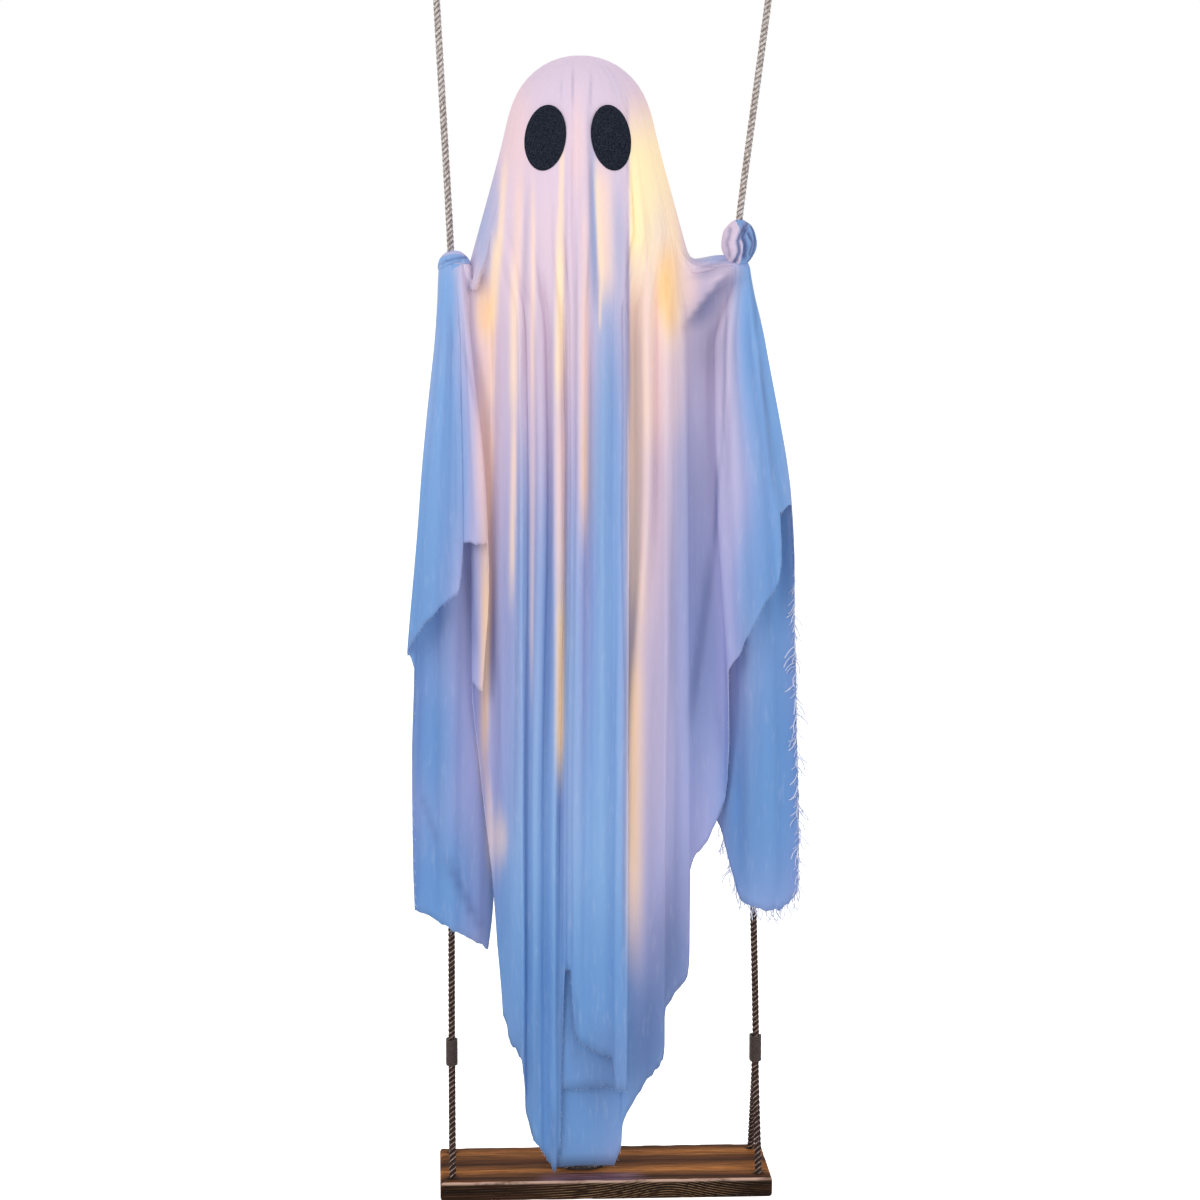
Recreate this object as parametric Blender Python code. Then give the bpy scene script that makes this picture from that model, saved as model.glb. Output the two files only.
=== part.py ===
# A sheet ghost on a rope swing, hung from two rings.
# Heights are first measured up from the underside of the seat, then everything below the
# hanging rings is parented to an empty on the swing axis, which is the world's X axis.
import math

import bmesh
import bpy
from mathutils import Vector

# Hanging
hang_height = 1.770          # swing axis above the underside of the seat
ring_radius = 0.022          # middle of the ring's bar
ring_bar_radius = 0.003
ring_spread = 0.222          # ring to middle of the object
touch_gap = 0.0003

# Seat board
seat_length = 0.450
seat_depth = 0.161
seat_thickness = 0.027
seat_edge_round = 0.004
hole_inset = 0.017           # rope hole to the end of the seat
hole_spread = 0.058          # rope hole to the middle of the seat's depth
hole_clearance = 0.0006

# Ropes
rope_radius = 0.005
strand_offset = 0.0053       # two strands lie side by side in a sleeve
eye_radius = 0.020
eye_gap = 0.0007
upper_sleeve_drop = 0.068    # swing axis to the top of the upper sleeve
lower_sleeve_height = 0.168
sleeve_length = 0.039
sleeve_wall = 0.002
leg_lean = math.radians(20)
rope_step = 0.120
rope_way_sides = 10
rope_turn = math.radians(24)

# Head and post
head_x = -0.0316
head_radius = 0.0972         # middle of the cloth
head_drop = 0.3375           # swing axis to the middle of the head
cloth = 0.0016
ball_gap = 0.0017
ball_steps = 10
post_radius = 0.011
ball_bore_above = 0.060      # bore's end above the middle of the ball
flange_radius = 0.035
flange_thickness = 0.004
collar_wall = 0.0045
collar_height = 0.030
flange_screw_circle = 0.026
screw_head_radius = 0.004
screw_head_height = 0.0026
screw_radius = 0.0018
screw_length = 0.016
flange_screw_count = 4

# Eyes
eye_turn = math.radians(-4)
eye_spread = math.radians(24.8)
eye_half_width = 0.0258
eye_half_height = 0.0425
eye_tilt = math.radians(8.6)    # the tops lean toward each other
eye_thickness = 0.0015
eye_rise = -0.010            # middle of the eyes above the middle of the head
eye_cloth_gap = 0.0007

# Battery light
cell_radius = 0.00725
cell_length = 0.0505
case_wall = 0.0016
case_end = 0.012
case_behind_post = 0.043
cover_thickness = 0.0016
slider_length = 0.0046
slider_width = 0.0034
slider_depth = 0.0024
slider_rise = 0.0018
slider_travel = 0.003
wire_radius = 0.0008
wire_wrap_gap = 0.0007
wire_turns = 2.5
wire_points_a_turn = 12
bead_radius = 0.004
bead_length = 0.013
bead_count = 6

# Knots: place of the middle and half sizes
knot_right = (0.1775, 1.286)
knot_right_size = (0.0235, 0.0255, 0.030)
knot_left = (-0.2030, 1.262)
knot_left_size = (0.0245, 0.0245, 0.0135)

# Sheet levels, above the underside of the seat
neck_z = 1.300
skirt_flare_x = 0.278
skirt_flare_y = 0.097
shoulder_z = 1.160
mid_z = 0.940
low_z = 0.550
foot_z = 0.030
right_web_z = 1.268
left_web_z = 1.262
body_gather_z = 1.220
web_fall = 0.0009            # per degree away from the web's ridge
gather_fall = 0.0006
right_ridge = 91
left_ridge = 267
dome_steps = 6
sheet_levels = (1.05, mid_z, 0.81, 0.68, low_z, 0.43, 0.32, 0.21, 0.11, 0.06, foot_z)
arm_centre_right = (198, -26)
arm_centre_left = (-200, -26)
gather_forward = 0.0165      # a sleeve hangs in front of its rope
gather_size = (0.013, 0.0095)   # half sizes of the bunched cloth inside a knot
knot_forward = 0.015
gather_spread = 6.2            # degrees round the bunch for a degree round the head
shoulder_scale = (0.68, 0.80)
mm = 0.001

# The sheet's hanging lines, once round from the left edge of the body's front.
# Each has: degrees round the head from the front, x and y at mid_z, x and y at low_z,
# height of the hem, how far it is pulled to an arm's knot, y at the foot. Lengths in mm.
hanging_lines = (
    (-62, -147, -30, -138, -30, 243, 0.00, -16),
    (-53, -130, -66, -129, -62, 215, 0.00, -30),
    (-44, -115, -94, -114, -84, 189, 0.00, -48),
    (-38, -104, -82, -108, -72, 110, 0.00, -44),
    (-31, -90, -104, -96, -92, 75, 0.00, -54),
    (-25, -78, -92, -84, -78, 55, 0.00, -46),
    (-18, -66, -110, -70, -96, 29, 0.00, -54),
    (-12, -57, -92, -63, -80, 60, 0.00, -46),
    (-9, -51, -99, -56, -89, 317, 0.00, -40),
    (-5, -45, -105, -49, -97, 317, 0.00, -44),
    (-1, -37, -111, -41, -102, 221, 0.00, -46),
    (5, -23, -97, -24, -94, 210, 0.00, -54),
    (11, -8, -113, -8, -104, 200, 0.00, -58),
    (16, 6, -99, 7, -96, 197, 0.00, -58),
    (20, 17, -108, 13, -104, 150, 0.00, -66),
    (24, 28, -112, 27, -106, 152, 0.00, -62),
    (27, 16, -96, 4, -82, 150, 0.00, -46),
    (29, 12, -84, -66, -66, 146, 0.00, -45),
    (31, 14, -74, -66, -48, 36, 0.00, -40),
    (34, 34, -68, 12, -48, 36, 0.00, -39),
    (39, 50, -92, 26, -68, 100, 0.00, -36),
    (45, 63, -76, 57, -66, 156, 0.00, -32),
    (51, 77, -86, 78, -72, 185, 0.00, -32),
    (56, 90, -68, 82, -56, 253, 0.00, -28),
    (60, 108, -52, 112, -42, 298, 0.00, -24),
    (63, 114, -28, 113, -20, 432, 0.05, -10),
    (66, 130, -22, 136, -10, 475, 0.35, -5),
    (69, 147, -20, 160, -6, 522, 0.75, -3),
    (72, 157, -24, 166, -14, 560, 1.00, -10),
    (75, 149, -44, 174, -40, 718, 1.00, -40),
    (79, 170, -58, 190, -50, 745, 1.00, -50),
    (83, 192, -47, 206, -44, 785, 1.00, -44),
    (87, 223, -56, 238, -46, 838, 1.00, -46),
    (90, 231, -42, 240, -40, 928, 1.00, -40),
    (93, 247, -30, 252, -28, 938, 1.00, -28),
    (97, 240, -19, 261, -22, 412, 1.00, -22),
    (101, 217, -15, 236, -13, 382, 1.00, -13),
    (105, 196, -21, 206, -23, 385, 1.00, -23),
    (109, 176, -15, 182, -17, 402, 1.00, -17),
    (113, 160, 4, 163, 9, 477, 1.00, 9),
    (118, 140, 32, 140, 34, 550, 0.40, 34),
    (126, 118, 66, 118, 64, 500, 0.00, 64),
    (135, 92, 92, 92, 90, 460, 0.00, 90),
    (145, 66, 82, 66, 80, 440, 0.00, 80),
    (155, 40, 110, 40, 106, 432, 0.00, 106),
    (166, 14, 96, 14, 92, 420, 0.00, 92),
    (177, -12, 116, -12, 110, 408, 0.00, 110),
    (188, -40, 98, -40, 94, 402, 0.00, 94),
    (198, -66, 112, -66, 108, 410, 0.00, 108),
    (208, -92, 90, -94, 88, 415, 0.00, 88),
    (219, -118, 90, -122, 86, 422, 0.00, 86),
    (230, -140, 62, -140, 60, 430, 0.00, 60),
    (238, -150, 36, -148, 36, 440, 0.35, 36),
    (244, -158, 10, -158, 10, 328, 1.00, 10),
    (249, -178, -6, -181, -8, 345, 1.00, -8),
    (253, -200, -21, -206, -23, 362, 1.00, -23),
    (257, -222, -15, -233, -14, 378, 1.00, -14),
    (261, -236, -22, -255, -22, 392, 1.00, -22),
    (264, -241, -31, -262, -30, 722, 1.00, -30),
    (268, -245, -42, -277, -42, 750, 1.00, -42),
    (272, -232, -54, -250, -60, 785, 1.00, -60),
    (276, -214, -54, -222, -62, 810, 1.00, -62),
    (280, -196, -50, -194, -58, 828, 1.00, -58),
    (283, -189, -46, -188, -54, 893, 1.00, -54),
    (286, -173, -56, -168, -58, 893, 1.00, -58),
    (289, -158, -47, -150, -48, 888, 1.00, -48),
    (291, -166, -34, -164, -34, 690, 1.00, -34),
    (293, -178, -22, -177, -22, 702, 1.00, -22),
    (295, -168, -10, -166, -6, 560, 0.80, -6),
    (297, -156, -6, -152, 0, 432, 0.35, 0),
)

seat_top = seat_thickness
head_z = hang_height - head_drop
hole_x = seat_length / 2 - hole_inset
case_length = case_wall + cell_length + 2 * touch_gap + case_end
case_height = 2 * case_wall + 6 * cell_radius + 4 * touch_gap
case_depth = case_wall + 2 * cell_radius + 2 * touch_gap
case_left = head_x - case_length / 2
case_front = case_behind_post
case_floor = seat_top + touch_gap
light_turn_radius = post_radius + wire_wrap_gap + wire_radius


def clear_scene():
    for thing in list(bpy.data.objects):
        bpy.data.objects.remove(thing, do_unlink=True)


def make_material(name, colour, roughness, metallic=0.0):
    material = bpy.data.materials.new(name)
    material.use_nodes = True
    shader = material.node_tree.nodes["Principled BSDF"]
    shader.inputs["Base Color"].default_value = (*colour, 1.0)
    shader.inputs["Roughness"].default_value = roughness
    shader.inputs["Metallic"].default_value = metallic
    return material


def make_axis(name, place, parent=None):
    axis = bpy.data.objects.new(name, None)
    axis.empty_display_size = 0.05
    axis.location = place
    axis.parent = parent
    bpy.context.scene.collection.objects.link(axis)
    return axis


def add_object(name, data, material, parent, place=(0.0, 0.0, -hang_height)):
    thing = bpy.data.objects.new(name, data)
    bpy.context.scene.collection.objects.link(thing)
    if material:
        data.materials.append(material)
    thing.parent = parent
    thing.location = place
    return thing


def finish_mesh(work, name, smooth_angle=40):
    bmesh.ops.remove_doubles(work, verts=work.verts, dist=0.00002)
    bmesh.ops.recalc_face_normals(work, faces=work.faces)
    mesh = bpy.data.meshes.new(name)
    work.to_mesh(mesh)
    work.free()
    mesh.shade_smooth()
    mesh.set_sharp_from_angle(angle=math.radians(smooth_angle))
    return mesh


def box_mesh(name, low, high):
    work = bmesh.new()
    bmesh.ops.create_cube(work, size=1.0)
    for vert in work.verts:
        for axis in range(3):
            vert.co[axis] = low[axis] if vert.co[axis] < 0 else high[axis]
    return finish_mesh(work, name)


def turned_mesh(name, profile, sides, centre=(0.0, 0.0)):
    """Closed solid of revolution about a vertical axis; the profile runs from axis to axis."""
    work = bmesh.new()
    loops = []
    for radius, height in profile:
        if radius == 0:
            loops.append([work.verts.new((centre[0], centre[1], height))])
            continue
        turns = [2 * math.pi * k / sides for k in range(sides)]
        loops.append([work.verts.new((centre[0] + radius * math.cos(t),
                                      centre[1] + radius * math.sin(t), height)) for t in turns])
    for low, high in zip(loops, loops[1:]):
        for k in range(sides):
            corners = [low[k % len(low)], low[(k + 1) % len(low)],
                       high[(k + 1) % len(high)], high[k % len(high)]]
            corners = list(dict.fromkeys(corners))
            if len(corners) > 2:
                work.faces.new(corners)
    return finish_mesh(work, name)


def swept_mesh(name, points, radius, sides):
    """Round tube along points, with flat ends."""
    work = bmesh.new()
    side = Vector((1.0, 0.0, 0.0))
    loops = []
    for i, point in enumerate(points):
        ahead = points[min(i + 1, len(points) - 1)] - points[max(i - 1, 0)]
        ahead.normalize()
        side = (side - ahead * side.dot(ahead)).normalized()
        across = ahead.cross(side)
        loops.append([work.verts.new(point + radius * (side * math.cos(t) + across * math.sin(t)))
                      for t in (2 * math.pi * k / sides for k in range(sides))])
    for low, high in zip(loops, loops[1:]):
        for k in range(sides):
            work.faces.new((low[k], low[(k + 1) % sides], high[(k + 1) % sides], high[k]))
    work.faces.new(loops[0])
    work.faces.new(loops[-1])
    return finish_mesh(work, name)


def cut_with(thing, cutters, operation="DIFFERENCE", solver="EXACT"):
    for cutter in cutters:
        change = thing.modifiers.new(cutter.name, "BOOLEAN")
        change.operation = operation
        change.solver = solver
        change.object = cutter
        cutter.hide_render = True
        cutter.display_type = "WIRE"


def smooth_route(corners, step, turn, pieces=40):
    """Points on a centripetal Catmull-Rom curve: every corner, and between two corners one
    after each step of length or of turning, whichever comes first."""
    path = [2 * corners[0] - corners[1], *corners, 2 * corners[-1] - corners[-2]]
    points = []
    for p0, p1, p2, p3 in zip(path, path[1:], path[2:], path[3:]):
        t1 = math.sqrt((p1 - p0).length)
        t2 = t1 + math.sqrt((p2 - p1).length)
        t3 = t2 + math.sqrt((p3 - p2).length)
        dense = []
        for k in range(pieces + 1):
            t = t1 + (t2 - t1) * k / pieces
            a1 = p0.lerp(p1, t / t1)
            a2 = p1.lerp(p2, (t - t1) / (t2 - t1))
            a3 = p2.lerp(p3, (t - t2) / (t3 - t2))
            b1 = a1.lerp(a2, t / t2)
            b2 = a2.lerp(a3, (t - t1) / (t3 - t1))
            dense.append(b1.lerp(b2, (t - t1) / (t2 - t1)))
        run = bend = 0.0
        points.append(dense[0])
        for before, here, after in zip(dense, dense[1:], dense[2:]):
            run += (here - before).length
            bend += (here - before).angle(after - here, 0.0)
            if (run >= step or bend >= turn) and (dense[-1] - here).length > step / 3:
                points.append(here)
                run = bend = 0.0
    points.append(corners[-1])
    return points


def tube_object(name, points, radius, material, parent):
    curve = bpy.data.curves.new(name, "CURVE")
    curve.dimensions = "3D"
    curve.bevel_depth = radius
    curve.bevel_resolution = 2
    curve.use_fill_caps = True
    spline = curve.splines.new("POLY")
    spline.points.add(len(points) - 1)
    for point, place in zip(spline.points, points):
        point.co = (*place, 1.0)
    return add_object(name, curve, material, parent)


def knot_of(side):
    return (knot_right, knot_right_size) if side > 0 else (knot_left, knot_left_size)


def eye_points(x):
    """The loop over the ring's bar, from the back of the upper sleeve to its front."""
    middle = hang_height + ring_bar_radius + eye_gap + rope_radius - eye_radius
    sleeve_top = hang_height - upper_sleeve_drop
    flank = (0.0135, middle - 0.026)
    back = [Vector((x, strand_offset, sleeve_top - 0.5 * sleeve_length)),
            Vector((x, strand_offset, sleeve_top)),
            Vector((x, flank[0], flank[1]))]
    over = [Vector((x, eye_radius * math.cos(t), middle + eye_radius * math.sin(t)))
            for t in (math.pi * k / 7 for k in range(8))]
    front = [Vector((x, -p.y, p.z)) for p in reversed(back)]
    return back + over + front


def seat_turn(x, side):
    """Round the bottom edge of one seat hole, from the leg above to the underside."""
    reach = eye_radius
    under = -(rope_radius + hole_clearance + touch_gap / 2)
    centre = Vector((x, side * (hole_spread - reach), under + reach))
    angles = [-leg_lean + (math.pi / 2 + leg_lean) * k / 4 for k in range(5)]
    return [centre + Vector((0.0, side * reach * math.cos(a), -reach * math.sin(a))) for a in angles]


def rope_corners(side):
    """One rope: upper sleeve, over the ring, down by the knot, under the seat, lower sleeve."""
    top_x = side * ring_spread
    seat_x = side * hole_x
    knot_place = knot_of(side)[0]
    sleeve_bottom = hang_height - upper_sleeve_drop - sleeve_length
    y = -strand_offset
    run = [Vector((top_x, y, sleeve_bottom - 0.004)),
           Vector((knot_place[0], y, knot_place[1] + 0.012)),
           Vector((knot_place[0], y, knot_place[1] - 0.012)),
           Vector((seat_x, y, lower_sleeve_height + sleeve_length + 0.004)),
           Vector((seat_x, y, lower_sleeve_height - 0.004))]
    front_turn = seat_turn(seat_x, -1)
    back_turn = seat_turn(seat_x, 1)
    leg_top = Vector((seat_x, y - 0.0028, lower_sleeve_height - 0.018))
    leg_top_back = Vector((seat_x, -leg_top.y, leg_top.z))
    end = [Vector((seat_x, -y, lower_sleeve_height - 0.004)),
           Vector((seat_x, -y, lower_sleeve_height + sleeve_length * 0.8))]
    return eye_points(top_x) + run + [leg_top] + front_turn + back_turn[::-1] + [leg_top_back] + end


def rope_route(side):
    return smooth_route(rope_corners(side), rope_step, rope_turn)


def stadium(half_x, half_y, count):
    """Closed outline with straight sides along y and round ends."""
    straight = half_y - half_x
    points = []
    for k in range(count):
        t = 2 * math.pi * (k + 0.5) / count
        points.append((half_x * math.cos(t), half_x * math.sin(t) + math.copysign(straight, math.sin(t))))
    return points


def sleeve_mesh(name, x, low):
    """Oval binding round two strands."""
    inner = stadium(rope_radius + touch_gap, strand_offset + rope_radius + touch_gap, 16)
    outer = stadium(rope_radius + touch_gap + sleeve_wall,
                    strand_offset + rope_radius + touch_gap + sleeve_wall, 16)
    work = bmesh.new()
    loops = []
    for outline, height in ((outer, low), (outer, low + sleeve_length),
                            (inner, low + sleeve_length), (inner, low)):
        loops.append([work.verts.new((x + px, py, height)) for px, py in outline])
    for a, b in zip(loops, loops[1:] + loops[:1]):
        for k in range(16):
            work.faces.new((a[k], a[(k + 1) % 16], b[(k + 1) % 16], b[k]))
    return finish_mesh(work, name)


def ring_mesh(name, x):
    """Round ring in the XZ plane whose lower bar lies on the swing axis."""
    around, across = 18, 8
    work = bmesh.new()
    loops = []
    for k in range(around):
        t = 2 * math.pi * (k + 0.5) / around
        loop = []
        for m in range(across):
            a = 2 * math.pi * (m + 0.5) / across
            reach = ring_radius + ring_bar_radius * math.cos(a)
            loop.append(work.verts.new((x + reach * math.sin(t), ring_bar_radius * math.sin(a),
                                        ring_radius - reach * math.cos(t))))
        loops.append(loop)
    for a, b in zip(loops, loops[1:] + loops[:1]):
        for m in range(across):
            work.faces.new((a[m], a[(m + 1) % across], b[(m + 1) % across], b[m]))
    return finish_mesh(work, name)


def build_seat(wood, parent):
    low = (-seat_length / 2, -seat_depth / 2, 0.0)
    high = (seat_length / 2, seat_depth / 2, seat_thickness)
    seat = add_object("seat_board", box_mesh("seat_board", low, high), wood, parent)
    rounding = seat.modifiers.new("worn_edges", "BEVEL")
    rounding.width = seat_edge_round
    rounding.segments = 2
    cutters = []
    for side, name in ((-1, "left_rope_holes"), (1, "right_rope_holes")):
        route = [p for p in rope_route(side) if p.z < lower_sleeve_height - 0.005]
        tube = swept_mesh(name, route, rope_radius + hole_clearance, rope_way_sides)
        cutters.append(add_object(tube.name, tube, None, parent))
    for x, y in flange_screw_places():
        profile = ((0, seat_top - screw_length), (screw_radius + touch_gap, seat_top - screw_length),
                   (screw_radius + touch_gap, seat_top + 0.002), (0, seat_top + 0.002))
        pilot = turned_mesh("pilot_hole", profile, 8, (x, y))
        cutters.append(add_object("pilot_hole", pilot, None, parent))
    cut_with(seat, cutters)


def flange_screw_places():
    for k in range(flange_screw_count):
        t = 2 * math.pi * (k + 0.5) / flange_screw_count
        yield head_x + flange_screw_circle * math.cos(t), flange_screw_circle * math.sin(t)


def build_ropes(rope, binding, parent):
    for side, name in ((-1, "left"), (1, "right")):
        tube_object(f"{name}_rope", rope_route(side), rope_radius, rope, parent)
        upper = sleeve_mesh(f"{name}_upper_binding", side * ring_spread,
                            hang_height - upper_sleeve_drop - sleeve_length)
        lower = sleeve_mesh(f"{name}_lower_binding", side * hole_x, lower_sleeve_height)
        add_object(upper.name, upper, binding, parent)
        add_object(lower.name, lower, binding, parent)


def build_rings(steel, hangers):
    for side, name in ((-1, "left"), (1, "right")):
        ring = ring_mesh(f"{name}_hang_ring", side * ring_spread)
        add_object(ring.name, ring, steel, hangers, (0.0, 0.0, 0.0))


def build_post(steel, wood, foam, parent):
    floor = seat_top + touch_gap
    plate_top = floor + flange_thickness
    bore = post_radius + touch_gap
    collar_top = floor + collar_height
    profile = ((0, floor), (flange_radius, floor), (flange_radius, plate_top),
               (bore + collar_wall, plate_top), (bore + collar_wall, collar_top),
               (bore, collar_top), (bore, plate_top), (0, plate_top))
    flange = add_object("post_flange", turned_mesh("post_flange", profile, 20, (head_x, 0.0)), steel, parent)
    holes = []
    for number, (x, y) in enumerate(flange_screw_places(), 1):
        reach = screw_radius + touch_gap
        hole = turned_mesh("flange_hole", ((0, floor - 0.001), (reach, floor - 0.001),
                                           (reach, plate_top + 0.001), (0, plate_top + 0.001)), 8, (x, y))
        holes.append(add_object("flange_hole", hole, None, parent))
        under = plate_top + touch_gap
        shank_end = under - screw_length
        screw = turned_mesh(f"flange_screw_{number}",
                            ((0, shank_end), (screw_radius, shank_end + 0.002), (screw_radius, under),
                             (screw_head_radius, under), (screw_head_radius, under + 0.5 * screw_head_height),
                             (0.5 * screw_head_radius, under + screw_head_height),
                             (0, under + screw_head_height)), 8, (x, y))
        add_object(screw.name, screw, steel, parent)
    cut_with(flange, holes)
    ball_bore_end = head_z + ball_bore_above
    post = turned_mesh("support_post", ((0, plate_top + touch_gap), (post_radius, plate_top + touch_gap),
                                        (post_radius, ball_bore_end - touch_gap),
                                        (0, ball_bore_end - touch_gap)), 16, (head_x, 0.0))
    add_object("support_post", post, wood, parent)
    ball_radius = head_radius - cloth / 2 - ball_gap
    last = ball_steps - 1
    turns = [math.pi * k / last for k in range(ball_steps)]
    profile = [(ball_radius * math.sin(t) if 0 < k < last else 0, head_z - ball_radius * math.cos(t))
               for k, t in enumerate(turns)]
    mesh = turned_mesh("head_ball", profile, 2 * last, (head_x, 0.0))
    ball = add_object("head_ball", mesh, foam, parent)
    cutter = turned_mesh("post_bore", ((0, head_z - head_radius), (bore, head_z - head_radius),
                                       (bore, ball_bore_end), (0, ball_bore_end)), 16, (head_x, 0.0))
    cut_with(ball, [add_object("post_bore", cutter, None, parent)])


def dome_point(turn, fall, outward=0.0):
    """Point of the sheet's middle over the head: turn round from the front, fall from the top."""
    radius = head_radius + outward
    x = head_x + radius * math.sin(fall) * math.sin(turn)
    return Vector((x, -radius * math.sin(fall) * math.cos(turn), head_z + radius * math.cos(fall)))


def skirt_point(turn, z, outward=0.0):
    """Point of the sheet's middle below the widest part of the head, where it flares."""
    half_x = head_radius + skirt_flare_x * (head_z - z) + outward
    half_y = head_radius + skirt_flare_y * (head_z - z) + outward
    return Vector((head_x + half_x * math.sin(turn), -half_y * math.cos(turn), z))


def head_surface(turn, z, outward=0.0):
    if z >= head_z:
        return dome_point(turn, math.acos(min(1.0, (z - head_z) / (head_radius + outward))), outward)
    return skirt_point(turn, z, outward)


def strand_places(line):
    """Key points of one hanging line from the shoulder down, and its path over the shoulder."""
    turn, mid_x, mid_y, low_x, low_y, hem, pull, foot_y = line
    neck = skirt_point(math.radians(turn), neck_z)
    right = turn < 150
    knot_place, knot_size = (knot_right, knot_right_size) if right else (knot_left, knot_left_size)
    centre = arm_centre_right if right else arm_centre_left
    knot_middle = Vector((knot_place[0], -strand_offset - gather_forward, 0.0))
    mid = Vector((mid_x * mm, mid_y * mm, mid_z))
    low = Vector((low_x * mm, low_y * mm, low_z))
    foot = Vector((low_x * mm, foot_y * mm, foot_z))

    def toward(point, share, z):
        return Vector((point.x + (mid.x - point.x) * share, point.y + (mid.y - point.y) * share, z))

    aside = turn % 360 - (right_ridge if right else left_ridge)
    bunch_turn = math.radians(aside * gather_spread)
    outward = 1 if right else -1
    bunch = Vector((knot_middle.x + outward * gather_size[0] * math.cos(bunch_turn),
                    knot_middle.y + outward * gather_size[1] * math.sin(bunch_turn),
                    knot_place[1] - 0.7 * knot_size[2] - gather_fall * abs(aside)))
    gather = toward(neck, 0.5, body_gather_z).lerp(bunch, pull)
    arm_shoulder = Vector((knot_middle.x + (mid_x - centre[0]) * mm * shoulder_scale[0],
                           knot_middle.y + (mid_y - centre[1]) * mm * shoulder_scale[1], shoulder_z))
    shoulder = toward(neck, 0.85, shoulder_z).lerp(arm_shoulder, pull)
    web_z = (right_web_z if right else left_web_z) - web_fall * abs(aside)
    halfway = (neck + gather) / 2
    halfway.z += (web_z - halfway.z) * pull
    return neck, halfway, gather, (shoulder, mid, low, foot)


def place_at(keys, z):
    """Point at height z on the line through the keys, eased at each key."""
    for i in range(len(keys) - 1):
        if z >= keys[i + 1].z or i == len(keys) - 2:
            share = min(max((keys[i].z - z) / (keys[i].z - keys[i + 1].z), 0.0), 1.0)
            before = keys[max(i - 1, 0)]
            after = keys[min(i + 2, len(keys) - 1)]
            start, end = keys[i], keys[i + 1]
            span = start.z - end.z
            slope_in = (end - before) / max(before.z - end.z, span)
            slope_out = (after - start) / max(start.z - after.z, span)
            h = share
            place = (start * (2 * h**3 - 3 * h**2 + 1) + slope_in * span * (h**3 - 2 * h**2 + h)
                     + end * (3 * h**2 - 2 * h**3) + slope_out * span * (h**3 - h**2))
            return Vector((place.x, place.y, z))


def strand(line):
    """One column of the sheet from under the apex to its hem."""
    turn = math.radians(line[0])
    hem = line[5] * mm
    neck, halfway, gather, keys = strand_places(line)
    column = [dome_point(turn, math.pi / 2 * (k + 1) / dome_steps) for k in range(dome_steps)]
    column += [neck, halfway, gather, keys[0]]
    for z in sheet_levels:
        if z <= hem:
            break
        column.append(place_at(keys, z))
    column.append(place_at(keys, hem))
    return column


def sheet_mesh():
    work = bmesh.new()
    columns = [[work.verts.new(point) for point in strand(line)] for line in hanging_lines]
    apex = work.verts.new((head_x, 0.0, head_z + head_radius))
    rows = max(len(column) for column in columns)
    for left, right in zip(columns, columns[1:] + columns[:1]):
        work.faces.new((apex, left[0], right[0]))
        for k in range(rows - 1):
            corners = [left[min(k, len(left) - 1)], left[min(k + 1, len(left) - 1)],
                       right[min(k + 1, len(right) - 1)], right[min(k, len(right) - 1)]]
            corners = list(dict.fromkeys(corners))
            if len(corners) > 2:
                work.faces.new(corners)
    return finish_mesh(work, "ghost_sheet", 180)


def knot_mesh(name, side):
    """A tied lump round the rope, with its rolled edges as shallow turns."""
    place, size = knot_of(side)
    around, tall = 16, 8
    work = bmesh.new()
    loops = []
    for k in range(1, tall):
        fall = math.pi * k / tall
        loop = []
        for m in range(around):
            turn = 2 * math.pi * m / around
            swell = 1.0 + 0.07 * math.cos(2 * turn + 3 * fall)
            loop.append(work.verts.new((
                place[0] + swell * size[0] * math.sin(fall) * math.cos(turn),
                -strand_offset - knot_forward + swell * size[1] * math.sin(fall) * math.sin(turn),
                place[1] + size[2] * math.cos(fall))))
        loops.append(loop)
    for low, high in zip(loops, loops[1:]):
        for m in range(around):
            work.faces.new((low[m], low[(m + 1) % around], high[(m + 1) % around], high[m]))
    work.faces.new(loops[0])
    work.faces.new(loops[-1])
    return finish_mesh(work, name)


def build_sheet(fabric, parent):
    sheet = add_object("ghost_sheet", sheet_mesh(), fabric, parent)
    wall = sheet.modifiers.new("cloth", "SOLIDIFY")
    wall.thickness = cloth
    wall.offset = 0.0
    knots = []
    for side, name in ((-1, "left_knot"), (1, "right_knot")):
        lump = knot_mesh(name, side)
        knots.append(add_object(lump.name, lump, None, parent))
    cut_with(sheet, knots, "UNION", "MANIFOLD")
    tunnels = []
    for side, name in ((-1, "left_rope_way"), (1, "right_rope_way")):
        place, size = knot_of(side)
        route = [p for p in rope_route(side) if abs(p.z - place[1]) < 1.4 * rope_step and p.y < 0]
        tunnel = swept_mesh(name, route, rope_radius + hole_clearance, rope_way_sides)
        tunnels.append(add_object(tunnel.name, tunnel, None, parent))
    cut_with(sheet, tunnels, solver="MANIFOLD")


def eye_point(side, across, up, lift):
    """Point on the head as far across and up from the eye's middle as seen from the front."""
    middle = head_surface(eye_turn + side * eye_spread, head_z + eye_rise)
    rise = eye_rise + up
    wide = math.sqrt(head_radius ** 2 - rise ** 2) if rise > 0 else head_radius - skirt_flare_x * rise
    turn = math.asin((middle.x + across - head_x) / wide)
    return head_surface(turn, head_z + rise, lift)


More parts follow.
